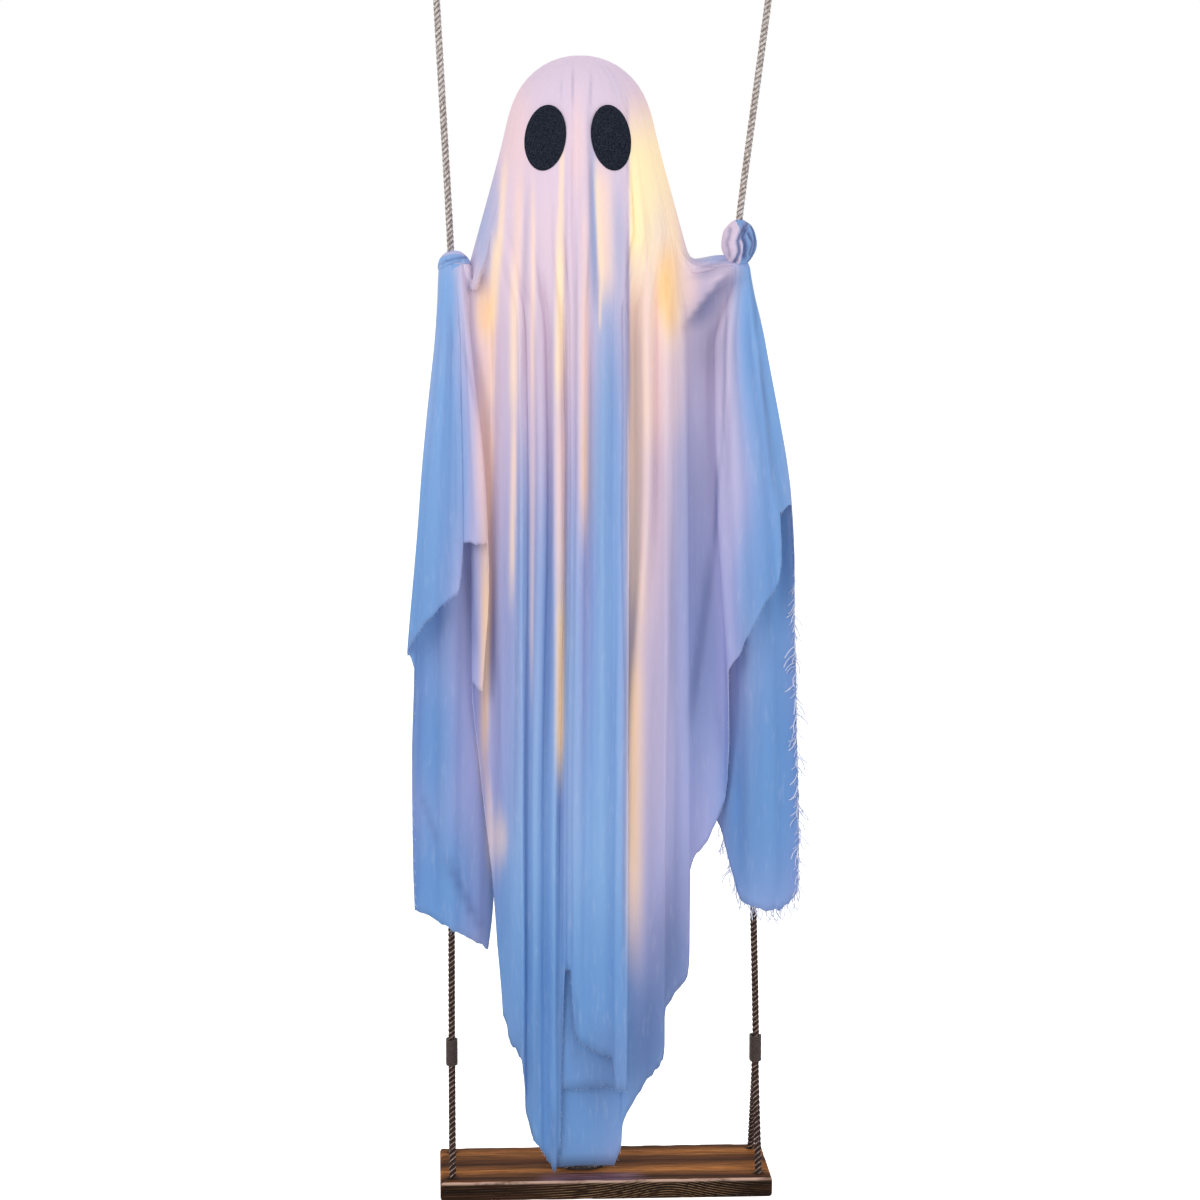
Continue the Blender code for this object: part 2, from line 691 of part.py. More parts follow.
def eye_mesh(name, side):
    """Felt oval that lies on the sheet."""
    rings, around = 3, 20
    work = bmesh.new()
    shells = []
    for lift in (cloth / 2 + eye_cloth_gap, cloth / 2 + eye_cloth_gap + eye_thickness):
        centre = work.verts.new(eye_point(side, 0.0, 0.0, lift))
        loops = []
        for k in range(1, rings + 1):
            loop = []
            for m in range(around):
                t = 2 * math.pi * m / around
                across = eye_half_width * k / rings * math.cos(t)
                up = eye_half_height * k / rings * math.sin(t)
                lean = side * eye_tilt
                turned = across * math.cos(lean) - up * math.sin(lean)
                risen = across * math.sin(lean) + up * math.cos(lean)
                loop.append(work.verts.new(eye_point(side, turned, risen, lift)))
            loops.append(loop)
        shells.append((centre, loops))
    for centre, loops in shells:
        for m in range(around):
            work.faces.new((centre, loops[0][m], loops[0][(m + 1) % around]))
            for low, high in zip(loops, loops[1:]):
                work.faces.new((low[m], low[(m + 1) % around], high[(m + 1) % around], high[m]))
    inner, outer = shells[0][1][-1], shells[1][1][-1]
    for m in range(around):
        work.faces.new((inner[m], inner[(m + 1) % around], outer[(m + 1) % around], outer[m]))
    return finish_mesh(work, name)


def build_eyes(felt, parent):
    for side, name in ((-1, "left_eye"), (1, "right_eye")):
        add_object(name, eye_mesh(name, side), felt, parent)


def build_battery_case(plastic, parent):
    low = (case_left, case_front, case_floor)
    high = (case_left + case_length, case_front + case_depth, case_floor + case_height)
    case = add_object("battery_case", box_mesh("battery_case", low, high), plastic, parent)
    bay = box_mesh("cell_bay", (low[0] + case_wall, low[1] + case_wall, low[2] + case_wall),
                   (high[0] - case_end, high[1] + 0.01, high[2] - case_wall))
    slot_start = high[0] - case_end + (case_end - slot_length()) / 2
    slot_middle = case_front + case_depth / 2
    slot = box_mesh("switch_slot",
                    (slot_start, slot_middle - slider_width / 2 - touch_gap, high[2] - slider_depth - touch_gap),
                    (slot_start + slot_length(), slot_middle + slider_width / 2 + touch_gap, high[2] + 0.01))
    screw_x, screw_z = cover_screw_place()
    pilot = round_along_y("cover_pilot", screw_x, screw_z, high[1] - cover_screw_depth() - touch_gap,
                          high[1] + 0.01, screw_radius + touch_gap)
    cut_with(case, [add_object(cutter.name, cutter, None, parent) for cutter in (bay, slot, pilot)])


def slot_length():
    return slider_length + slider_travel + 2 * touch_gap


def cover_screw_place():
    return case_left + case_length - case_end / 2, case_floor + 0.4 * case_height


def cover_screw_depth():
    return 0.6 * case_depth


def round_along_y(name, x, z, start, end, radius):
    mesh = turned_mesh(name, ((0, start), (radius, start), (radius, end), (0, end)), 8)
    for vert in mesh.vertices:
        vert.co = Vector((x + vert.co.x, vert.co.z, z - vert.co.y))
    return mesh


def build_cover(plastic, steel, parent):
    start = case_front + case_depth + touch_gap
    low = (case_left, start, case_floor)
    high = (case_left + case_length, start + cover_thickness, case_floor + case_height)
    cover = add_object("battery_cover", box_mesh("battery_cover", low, high), plastic, parent)
    x, z = cover_screw_place()
    hole = round_along_y("cover_hole", x, z, start - 0.01, high[1] + 0.01, screw_radius + touch_gap)
    cut_with(cover, [add_object("cover_hole", hole, None, parent)])
    under = high[1] + touch_gap
    tip = under - cover_thickness - cover_screw_depth()
    screw = turned_mesh("cover_screw", ((0, -tip), (screw_radius, -tip - 0.001), (screw_radius, -under),
                                        (screw_head_radius, -under),
                                        (0.6 * screw_head_radius, -under - screw_head_height),
                                        (0, -under - screw_head_height)), 8)
    for vert in screw.vertices:
        vert.co = Vector((x + vert.co.x, -vert.co.z, z + vert.co.y))
    add_object("cover_screw", screw, steel, parent)


def build_cells(steel, parent):
    start = case_left + case_wall + touch_gap
    y = case_front + case_wall + touch_gap + cell_radius
    nub = 0.0012
    for number in range(3):
        z = case_floor + case_wall + touch_gap + cell_radius + number * (2 * cell_radius + touch_gap)
        profile = ((0, start), (cell_radius, start), (cell_radius, start + cell_length - nub),
                   (0.4 * cell_radius, start + cell_length - nub), (0.4 * cell_radius, start + cell_length),
                   (0, start + cell_length))
        mesh = turned_mesh(f"cell_{number + 1}", profile, 12)
        for vert in mesh.vertices:
            vert.co = Vector((vert.co.z, y + vert.co.x, z + vert.co.y))
        add_object(mesh.name, mesh, steel, parent)


def build_switch(plastic, parent):
    """Slide knob, at the off end of its slot."""
    top = case_floor + case_height
    start = case_left + case_length - case_end + (case_end - slot_length()) / 2 + touch_gap
    middle = case_front + case_depth / 2
    axis = make_axis("switch_axis", (start, middle, top - hang_height), parent)
    work = bmesh.new()
    knob_in = 0.25 * slider_length
    outline = ((0, -slider_depth), (slider_length, -slider_depth), (slider_length, -0.0002),
               (slider_length - knob_in, -0.0002), (slider_length - knob_in, slider_rise),
               (knob_in, slider_rise), (knob_in, -0.0002), (0, -0.0002))
    loops = [[work.verts.new((x, side * slider_width / 2, z)) for x, z in outline] for side in (-1, 1)]
    count = len(outline)
    for k in range(count):
        work.faces.new((loops[0][k], loops[0][(k + 1) % count], loops[1][(k + 1) % count], loops[1][k]))
    for loop in loops:
        work.faces.new(loop)
    add_object("switch_slider", finish_mesh(work, "switch_slider"), plastic, axis, (0.0, 0.0, 0.0))


def light_bottom():
    return case_floor + case_height + 0.055


def light_top():
    return head_z - head_radius - 0.012


def light_place(share, reach):
    turn = math.pi / 2 + share * wire_turns * 2 * math.pi
    z = light_bottom() + share * (light_top() - light_bottom())
    return Vector((head_x + reach * math.cos(turn), reach * math.sin(turn), z))


def build_light(copper, bead, parent):
    steps = int(wire_turns * wire_points_a_turn)
    case_top = case_floor + case_height + touch_gap
    exit_y = case_front + case_depth / 2
    start = [Vector((head_x, exit_y, case_top)), Vector((head_x, exit_y, case_top + 0.012)),
             Vector((head_x, (exit_y + light_turn_radius) / 2, light_bottom() - 0.020)),
             Vector((head_x, light_turn_radius + 0.0015, light_bottom() - 0.004))]
    wound = [light_place(k / steps, light_turn_radius) for k in range(steps + 1)]
    lead = smooth_route(start + wound[:3], 0.014, rope_turn)
    tube_object("light_wire", lead + wound[3:], wire_radius, copper, parent)
    reach = light_turn_radius + wire_radius + touch_gap + bead_radius
    for number in range(bead_count):
        middle = light_place((number + 0.6) / bead_count, reach)
        half = bead_length / 2
        profile = ((0, middle.z - half), (0.7 * bead_radius, middle.z - 0.8 * half),
                   (bead_radius, middle.z - 0.4 * half), (bead_radius, middle.z + 0.4 * half),
                   (0.7 * bead_radius, middle.z + 0.8 * half), (0, middle.z + half))
        mesh = turned_mesh(f"light_bead_{number + 1}", profile, 8, (middle.x, middle.y))
        add_object(mesh.name, mesh, bead, parent)


def build_all():
    clear_scene()
    wood = make_material("stained_wood", (0.12, 0.055, 0.030), 0.55)
    dowel = make_material("plain_wood", (0.55, 0.40, 0.24), 0.60)
    rope = make_material("twisted_rope", (0.32, 0.27, 0.22), 0.85)
    binding = make_material("dark_binding", (0.045, 0.025, 0.018), 0.70)
    fabric = make_material("sheet_cloth", (0.36, 0.42, 0.68), 0.85)
    felt = make_material("black_felt", (0.010, 0.012, 0.016), 0.95)
    steel = make_material("zinc_steel", (0.60, 0.60, 0.58), 0.35, 1.0)
    foam = make_material("white_foam", (0.85, 0.85, 0.83), 0.80)
    plastic = make_material("white_plastic", (0.80, 0.80, 0.78), 0.45)
    copper = make_material("coated_wire", (0.45, 0.26, 0.12), 0.35)
    bead = make_material("warm_bead", (1.0, 0.80, 0.45), 0.30)
    cell = make_material("cell_jacket", (0.10, 0.10, 0.11), 0.40)
    hangers = make_axis("hanging_rings", (0.0, 0.0, 0.0))
    swing = make_axis("swing_axis", (0.0, 0.0, 0.0), hangers)
    build_rings(steel, hangers)
    build_ropes(rope, binding, swing)
    build_seat(wood, swing)
    build_post(steel, dowel, foam, swing)
    build_sheet(fabric, swing)
    build_eyes(felt, swing)
    build_battery_case(plastic, swing)
    build_cover(plastic, steel, swing)
    build_cells(cell, swing)
    build_switch(plastic, swing)
    build_light(copper, bead, swing)


build_all()
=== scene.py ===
# Sheet ghost on a rope swing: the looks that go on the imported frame.
# Lengths are metres in the frame's axes: Z up, X along the seat, -Y toward the viewer.
# The sheet and the ropes repeat the source's own points and formulas, only finer.
import math

import bmesh
import bpy
import numpy as np
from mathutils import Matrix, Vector, noise


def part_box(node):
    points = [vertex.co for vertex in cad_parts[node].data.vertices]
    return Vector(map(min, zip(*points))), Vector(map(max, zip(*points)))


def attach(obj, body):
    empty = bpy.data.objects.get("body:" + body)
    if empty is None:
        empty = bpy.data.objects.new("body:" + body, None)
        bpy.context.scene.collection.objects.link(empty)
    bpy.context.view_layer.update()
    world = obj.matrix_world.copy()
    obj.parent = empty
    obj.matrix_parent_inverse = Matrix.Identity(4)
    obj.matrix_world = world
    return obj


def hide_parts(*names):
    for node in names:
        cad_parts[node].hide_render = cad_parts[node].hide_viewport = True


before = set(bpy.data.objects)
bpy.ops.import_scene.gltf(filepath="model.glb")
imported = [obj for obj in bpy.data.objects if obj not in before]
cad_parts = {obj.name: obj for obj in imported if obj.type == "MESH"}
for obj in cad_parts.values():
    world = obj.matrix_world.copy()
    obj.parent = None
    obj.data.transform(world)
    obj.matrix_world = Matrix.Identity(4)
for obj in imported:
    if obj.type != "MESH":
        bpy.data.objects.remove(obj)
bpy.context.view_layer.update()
print("frame loaded")

seatUnderside = -1.770         # the source counts its heights up from here
mm = 0.001


# Shader wiring

class Signal:
    def __init__(self, finish, socket):
        self.finish = finish
        self.socket = socket

    def apply(self, operation, *values):
        return self.finish.node("ShaderNodeMath", {"operation": operation}, list(values))

    def __add__(self, other):
        return self.apply("ADD", self, other)

    __radd__ = __add__

    def __sub__(self, other):
        return self.apply("SUBTRACT", self, other)

    def __rsub__(self, other):
        return self.apply("SUBTRACT", other, self)

    def __mul__(self, other):
        return self.apply("MULTIPLY", self, other)

    __rmul__ = __mul__

    def __truediv__(self, other):
        return self.apply("DIVIDE", self, other)

    def __pow__(self, other):
        return self.apply("POWER", self, other)

    def absolute(self):
        return self.apply("ABSOLUTE", self)

    def part(self):
        return self.apply("FRACT", self)

    def sine(self):
        return self.apply("SINE", self)

    def clamped(self):
        return self.finish.node("ShaderNodeClamp", {}, [self, 0.0, 1.0])

    def between(self, low, high):
        span = {"Value": self, "From Min": low, "From Max": high}
        return self.finish.node("ShaderNodeMapRange", {"interpolation_type": "SMOOTHSTEP"}, span)


class Finish:
    def __init__(self, name, roughness=0.6, metallic=0.0, coat=0.0):
        self.material = bpy.data.materials.new(name)
        self.material.use_nodes = True
        self.tree = self.material.node_tree
        self.shader = self.tree.nodes["Principled BSDF"]
        self.put("Roughness", roughness)
        self.put("Metallic", metallic)
        self.put("Coat Weight", coat)

    def feed(self, socket, value):
        if isinstance(value, Signal):
            self.tree.links.new(value.socket, socket)
        elif isinstance(value, tuple) and len(value) == 3 and socket.type == "RGBA":
            socket.default_value = (*value, 1.0)
        else:
            socket.default_value = value

    def put(self, name, value):
        self.feed(self.shader.inputs[name], value)

    def node(self, kind, settings, values, output=0):
        made = self.tree.nodes.new(kind)
        for key, value in settings.items():
            setattr(made, key, value)
        pairs = values.items() if isinstance(values, dict) else enumerate(values)
        for key, value in pairs:
            self.feed(made.inputs[key], value)
        return Signal(self, made.outputs[output])

    def mix(self, first, second, share):
        return self.node("ShaderNodeMix", {"data_type": "RGBA"}, {0: share, 6: first, 7: second}, 2)

    def dimmed(self, colour, share):
        return self.mix((0.0, 0.0, 0.0), colour, share)

    def place(self):
        return self.node("ShaderNodeTexCoord", {}, {}, "Object")

    def axes(self):
        return [self.node("ShaderNodeSeparateXYZ", {}, [self.place()], k) for k in range(3)]

    def number(self, name):
        return self.node("ShaderNodeAttribute", {"attribute_name": name}, {}, "Fac")

    def stretched(self, scale):
        return self.node("ShaderNodeMapping", {}, {"Vector": self.place(), "Scale": scale})

    def speckle(self, scale, detail=3.0, where=None, rough=0.5):
        values = {"Vector": where or self.place(), "Scale": scale, "Detail": detail, "Roughness": rough}
        return self.node("ShaderNodeTexNoise", {}, values, "Fac")

    def bump(self, height, strength, depth):
        values = {"Strength": strength, "Distance": depth, "Height": height}
        self.put("Normal", self.node("ShaderNodeBump", {}, values))


def tint(red, green, blue):
    return tuple(((c / 255 + 0.055) / 1.055) ** 2.4 for c in (red, green, blue))


# Geometry Nodes wiring

class Grower:
    def __init__(self, name, sizes):
        self.tree = bpy.data.node_groups.new(name, "GeometryNodeTree")
        self.sizes = sizes
        faceTo = self.tree.interface
        faceTo.new_socket("Geometry", in_out="INPUT", socket_type="NodeSocketGeometry")
        for key in sizes:
            faceTo.new_socket(key, in_out="INPUT", socket_type="NodeSocketFloat")
        faceTo.new_socket("Geometry", in_out="OUTPUT", socket_type="NodeSocketGeometry")
        self.start = self.tree.nodes.new("NodeGroupInput")
        self.end = self.tree.nodes.new("NodeGroupOutput")

    def size(self, name):
        return self.start.outputs[name]

    def node(self, kind, settings, values, output=0):
        made = self.tree.nodes.new(kind)
        for key, value in settings.items():
            setattr(made, key, value)
        for key, value in values.items():
            if isinstance(value, bpy.types.NodeSocket):
                self.tree.links.new(value, made.inputs[key])
            else:
                made.inputs[key].default_value = value
        return made.outputs[output]

    def maths(self, operation, first, second=0.0):
        return self.node("ShaderNodeMath", {"operation": operation}, {0: first, 1: second})

    def route(self):
        return self.node("GeometryNodeMeshToCurve", {}, {"Mesh": self.start.outputs["Geometry"]})

    def evenRoute(self, step):
        return self.node("GeometryNodeResampleCurve", {"mode": "LENGTH"}, {"Curve": self.route(), "Length": step})

    def circle(self, corners, radius):
        return self.node("GeometryNodeCurvePrimitiveCircle", {}, {"Resolution": corners, "Radius": radius})

    def tube(self, path, ring, caps=True):
        values = {"Curve": path, "Profile Curve": ring, "Fill Caps": caps}
        return self.node("GeometryNodeCurveToMesh", {}, values)

    def finish(self, geometry, material):
        real = self.node("GeometryNodeRealizeInstances", {}, {"Geometry": geometry})
        dressed = self.node("GeometryNodeSetMaterial", {}, {"Geometry": real, "Material": material})
        self.tree.links.new(dressed, self.end.inputs["Geometry"])

    def grow(self, name, seedMesh):
        thing = placed(name, seedMesh)
        change = thing.modifiers.new("grow", "NODES")
        change.node_group = self.tree
        for item in self.tree.interface.items_tree:
            if item.in_out == "INPUT" and item.name in self.sizes:
                change[item.identifier] = float(self.sizes[item.name])
        seen = bpy.context.evaluated_depsgraph_get()
        grown = bpy.data.meshes.new_from_object(thing.evaluated_get(seen))
        thing.modifiers.remove(change)
        thing.data = grown
        return thing


def lineMesh(name, lines):
    mesh = bpy.data.meshes.new(name)
    points = [point for line in lines for point in line]
    edges = []
    count = 0
    for line in lines:
        edges += [(count + k, count + k + 1) for k in range(len(line) - 1)]
        count += len(line)
    mesh.from_pydata(points, edges, [])
    return mesh


def meshFrom(work, name):
    mesh = bpy.data.meshes.new(name)
    work.to_mesh(mesh)
    work.free()
    mesh.shade_smooth()
    return mesh


def placed(name, data):
    thing = bpy.data.objects.new(name, data)
    bpy.context.scene.collection.objects.link(thing)
    return thing


def settle(thing, stoodFor=None, body="swing"):
    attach(thing, body)
    if stoodFor:
        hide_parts(stoodFor)
    return thing


def addPiece(name, mesh, material, stoodFor=None, body="swing"):
    mesh.materials.clear()
    mesh.materials.append(material)
    return settle(placed(name, mesh), stoodFor, body)


# Camera, floor and light

studio = {
    "focalPixels": 3257.0,
    "imagePixels": 1200.0,
    "distance": 4.34,
    "turn": math.radians(3.0),
    "aimTurn": math.radians(2.93),
    "lookDown": math.radians(7.6),
    "cameraHeight": -0.383,
    "floorHeight": -2.02,
    "floorSize": 60.0,
    "worldLevel": 0.74,
    "floorTone": (0.93, 0.93, 0.93),
    "floorGlow": 0.55,
    "lampAim": (0.0, 0.0, -0.9),
    "lamps": {"keyLamp": ((-2.4, -3.6, 1.6), 2.4, 70.0),      # place, size and power
              "fillLamp": ((3.0, -3.0, 0.2), 2.6, 26.0),
              "backLamp": ((0.6, 3.6, 1.4), 2.6, 42.0)},
}


def placeCamera():
    camera = bpy.data.cameras.new("photoView")
    camera.sensor_width = 36.0
    camera.lens = camera.sensor_width * studio["focalPixels"] / studio["imagePixels"]
    camera.clip_end = 200.0
    holder = placed("photoView", camera)
    away, turn = studio["distance"], studio["turn"]
    holder.location = (-away * math.sin(turn), -away * math.cos(turn), studio["cameraHeight"])
    holder.rotation_euler = (math.pi / 2 - studio["lookDown"], 0.0, -studio["aimTurn"])
    bpy.context.scene.camera = holder


def seenWhite(finish):
    path = finish.tree.nodes.new("ShaderNodeLightPath")
    seen = [Signal(finish, path.outputs[k]) for k in ("Is Camera Ray", "Is Glossy Ray", "Is Transmission Ray")]
    return (seen[0] + seen[1] + seen[2]).clamped()


def layFloor():
    half = studio["floorSize"] / 2
    height = studio["floorHeight"]
    mesh = bpy.data.meshes.new("studioFloor")
    corners = [(-half, -half, height), (half, -half, height), (half, half, height), (-half, half, height)]
    mesh.from_pydata(corners, [], [(0, 1, 2, 3)])
    paper = Finish("paleFloor", roughness=0.9)
    paper.put("Base Color", studio["floorTone"])
    paper.put("Emission Color", (1.0, 1.0, 1.0))
    paper.put("Emission Strength", seenWhite(paper) * studio["floorGlow"])
    mesh.materials.append(paper.material)
    placed("studioFloor", mesh)


def lightStudio():
    world = bpy.data.worlds.new("studioSky")
    world.use_nodes = True
    bpy.context.scene.world = world
    sky = Finish.__new__(Finish)
    sky.tree = world.node_tree
    level = seenWhite(sky) * (1.0 - studio["worldLevel"]) + studio["worldLevel"]
    background = world.node_tree.nodes["Background"]
    background.inputs["Color"].default_value = (1.0, 1.0, 1.0, 1.0)
    world.node_tree.links.new(level.socket, background.inputs["Strength"])
    for name, (place, size, power) in studio["lamps"].items():
        lamp = bpy.data.lights.new(name, "AREA")
        lamp.size = size
        lamp.energy = power
        holder = placed(name, lamp)
        holder.location = place
        aim = Vector(studio["lampAim"]) - Vector(place)
        holder.rotation_euler = aim.to_track_quat("-Z", "Y").to_euler()


placeCamera()
layFloor()
lightStudio()
bpy.context.scene.view_settings.view_transform = "Standard"
print("camera, floor and lamps placed")


# Ropes

rope = {
    "radius": 0.005,
    "strandPitch": 0.021,
    "strandGroove": 0.24,
    "step": 0.0022,
    "ringSpread": 0.222,
    "holeX": 0.208,
    "sleeveTopDrop": 0.068,
    "sleeveLength": 0.039,
    "lowerSleeve": 0.168,
    "besideStrand": 0.0053,
    "loopRadius": 0.020,
    "loopMouth": (0.0135, 0.026),       # half width and drop of the loop's neck
    "ringBarGap": 0.0037,
    "holeY": 0.058,
    "underSeatGap": 0.00075,
    "bendRadius": 0.020,
    "bendLean": math.radians(20),
    "knotHold": 0.012,
    "sleeveLead": 0.004,
    "legStart": (0.0028, 0.018),        # how far a leg is out and down where it leaves its binding
}
hangHeight = -seatUnderside    # the rings hang at the frame's zero
knotRise = {1: 0.0, -1: -0.0065}
knots = {
    1: {"name": "right", "x": 0.1775, "z": 1.286, "size": (0.0235, 0.0255, 0.030)},
    -1: {"name": "left", "x": -0.2030, "z": 1.262, "size": (0.0215, 0.0225, 0.0205)},
}


def lifted(point):
    return Vector((point[0], point[1], point[2] + seatUnderside))


def eyeLoop(x):
    radius, (mouth, drop) = rope["loopRadius"], rope["loopMouth"]
    middle = hangHeight + rope["ringBarGap"] + rope["radius"] - radius
    top = hangHeight - rope["sleeveTopDrop"]
    aside = rope["besideStrand"]
    back = [(x, aside, top - rope["sleeveLength"] / 2), (x, aside, top), (x, mouth, middle - drop)]
    turns = [math.pi * k / 7 for k in range(8)]
    over = [(x, radius * math.cos(t), middle + radius * math.sin(t)) for t in turns]
    front = [(x, -y, z) for x, y, z in reversed(back)]
    return back + over + front


def seatBend(x, side):
    lean, radius = rope["bendLean"], rope["bendRadius"]
    middle = (side * (rope["holeY"] - radius), radius - rope["radius"] - rope["underSeatGap"])
    turns = [-lean + (math.pi / 2 + lean) * k / 4 for k in range(5)]
    return [(x, middle[0] + side * radius * math.cos(t), middle[1] - radius * math.sin(t)) for t in turns]


def ropeCorners(side):
    topX = side * rope["ringSpread"]
    seatX = side * rope["holeX"]
    knot = knots[side]
    y = -rope["besideStrand"]
    low, long = rope["lowerSleeve"], rope["sleeveLength"]
    lead, hold, (out, fall) = rope["sleeveLead"], rope["knotHold"], rope["legStart"]
    run = [(topX, y, hangHeight - rope["sleeveTopDrop"] - long - lead),
           (knot["x"], y, knot["z"] + hold), (knot["x"], y, knot["z"] - hold),
           (seatX, y, low + long + lead), (seatX, y, low - lead), (seatX, y - out, low - fall)]
    bends = seatBend(seatX, -1) + seatBend(seatX, 1)[::-1]
    end = [(seatX, out - y, low - fall), (seatX, -y, low - lead), (seatX, -y, low + 0.8 * long)]
    return [lifted(p) for p in eyeLoop(topX) + run + bends + end]


def smoothRoute(corners, pieces=12):
    path = [2 * corners[0] - corners[1], *corners, 2 * corners[-1] - corners[-2]]
    points = []
    for p0, p1, p2, p3 in zip(path, path[1:], path[2:], path[3:]):
        t1 = math.sqrt((p1 - p0).length)
        t2 = t1 + math.sqrt((p2 - p1).length)
        t3 = t2 + math.sqrt((p3 - p2).length)
        for k in range(pieces):
            t = t1 + (t2 - t1) * k / pieces
            a1 = p0.lerp(p1, t / t1)
            a2 = p1.lerp(p2, (t - t1) / (t2 - t1))
            a3 = p2.lerp(p3, (t - t2) / (t3 - t2))
            b1 = a1.lerp(a2, t / t2)
            b2 = a2.lerp(a3, (t - t1) / (t3 - t1))
            points.append(b1.lerp(b2, (t - t1) / (t2 - t1)))
    points.append(corners[-1])
    return points


def ropeFinish():
    yarn = Finish("twistedRope", roughness=0.9)
    yarn.put("Specular IOR Level", 0.12)
    z = yarn.axes()[2]
    around = yarn.number("around")
    along = yarn.number("along")
    lower = 1.0 - z.between(-1.02, -0.66)
    # Painted light on the strands: a painted highlight along the middle of each strand of the lower rope, and
    # painted shade darkening the grooves between the strands.
    strand = (around * 3.0).part()
    aside = (strand - 0.5).absolute() * 2.0
    groove = aside ** 3.0
    strandHighlight = 1.0 - aside.between(0.10, 0.36)
    fibre = yarn.speckle(380.0, 3.0, yarn.stretched((1.0, 1.0, 0.45)), 0.7)
    upperTone = yarn.mix(tint(158, 144, 136), tint(232, 224, 220), fibre.between(0.30, 0.66))
    darkTone = yarn.mix(tint(38, 27, 25), tint(70, 52, 47), fibre)
    paleTone = yarn.mix(tint(88, 70, 64), tint(186, 164, 152), fibre.between(0.34, 0.66))
    lowerTone = yarn.mix(darkTone, paleTone, strandHighlight)
    tone = yarn.mix(upperTone, lowerTone, lower)
    yarn.put("Base Color", yarn.mix(tone, tint(52, 38, 34), (groove * 0.95).clamped()))
    ply = (around * 27.0 + along * 260.0).part()
    yarn.bump((ply - 0.5).absolute() * 0.6 + fibre * 0.8 - groove, 0.7, 0.0006)
    return yarn.material


def ropeGrower(material):
    sizes = {"Radius": rope["radius"], "Strand pitch": rope["strandPitch"], "Groove": rope["strandGroove"],
             "Step": rope["step"]}
    g = Grower("twistedRope", sizes)
    path = g.evenRoute(g.size("Step"))
    run = g.node("GeometryNodeSplineParameter", {}, {}, "Length")
    tilt = g.maths("MULTIPLY", g.maths("DIVIDE", run, g.size("Strand pitch")), 2 * math.pi)
    path = g.node("GeometryNodeSetCurveTilt", {}, {"Curve": path, "Tilt": tilt})
    path = g.node("GeometryNodeStoreNamedAttribute", {}, {"Geometry": path, "Name": "along", "Value": run})
    ring = g.circle(24, g.size("Radius"))
    around = g.node("GeometryNodeSplineParameter", {}, {}, "Factor")
    lobe = g.maths("ABSOLUTE", g.maths("SINE", g.maths("MULTIPLY", around, 3 * math.pi)))
    hollow = g.maths("MULTIPLY", g.maths("SUBTRACT", 1.0, lobe), g.size("Groove"))
    place = g.node("GeometryNodeInputPosition", {}, {})
    share = g.maths("SUBTRACT", 1.0, hollow)
    smaller = g.node("ShaderNodeVectorMath", {"operation": "SCALE"}, {0: place, "Scale": share})
    ring = g.node("GeometryNodeSetPosition", {}, {"Geometry": ring, "Position": smaller})
    ring = g.node("GeometryNodeStoreNamedAttribute", {}, {"Geometry": ring, "Name": "around", "Value": around})
    g.finish(g.tube(path, ring), material)
    return g


def makeRopes():
    material = ropeFinish()
    for side in (-1, 1):
        name = knots[side]["name"]
        route = smoothRoute(ropeCorners(side))
        line = ropeGrower(material).grow(f"{name}_twisted_rope", lineMesh("route", [route]))
        line.data.shade_smooth()
        settle(line, f"{name}_rope")
        length = sum((b - a).length for a, b in zip(route, route[1:]))
        print(f"{name} rope, {length:.3f} m")


makeRopes()


# Sheet

sheet = {
    "headX": -0.0316,
    "headRadius": 0.0972,
    "headHeight": 1.4325,
    "flareX": 0.278,
    "flareY": 0.097,
    "neck": 1.300,
    "gather": 1.220,
    "shoulder": 1.160,
    "mid": 0.940,
    "low": 0.550,
    "foot": 0.030,
    "ridges": {1: 91, -1: 267},
    "webs": {1: 1.268, -1: 1.228},
    "armCentres": {1: (198, -26), -1: (-200, -26)},
    "webFall": {1: 0.0009, -1: 0.0001},
    "webRise": {1: 0.006, -1: 0.0},
    "pleatFade": 0.55,
    "gatherFall": {1: 0.0006, -1: 0.0002},
    "gatherDrop": {1: 0.60, -1: -0.45},
    "gatherSize": {1: (0.013, 0.0095), -1: (0.0198, 0.0206)},
    "gatherAside": {1: 0.0, -1: 0.0045},
    "gatherForward": 0.0165,
    "knotForward": 0.015,
    "gatherSpread": 6.2,
    "shoulderScale": {1: (0.68, 0.80), -1: (0.53, 0.80)},
    "headSmoothings": 5,
    "filledTurn": 288,
    "filledY": -0.036,
    "cloth": 0.0012,
    "rows": {"dome": 12, "skirt": 8, "corner": 3, "web": 5, "gather": 5, "shoulder": 8, "below": 60},
    "columns": {66: 7, 118: 7, 238: 5, 360: 6},      # fine columns per line of the table, up to each turn
    "smoothings": 2,
    "pleatSpan": (1.20, 1.43),
    "sleeveFoldTop": (1.15, 1.235),
    "backTurns": (113, 124, 232, 246),
    "wrinkles": ((0.0024, 34.0, 1.6, 4.0), (0.0008, 110.0, 7.0, 9.0)),   # depth, how close across and down, seed
    "hemRagged": 0.007,
    "lowestHem": 0.031,
    "crownSpan": (8, 6),
    "fadeSpan": (0.60, 0.98),
    "calmSpan": (1.20, 1.42),
    "sleeveSplit": 150,            # lines before this turn go to the right knot, the others to the left
    "gatherShare": 0.5,
    "shoulderShare": 0.85,
    "runRow": 40,
    "hollowDepth": 0.005,
    "hollowShade": 0.16,
}

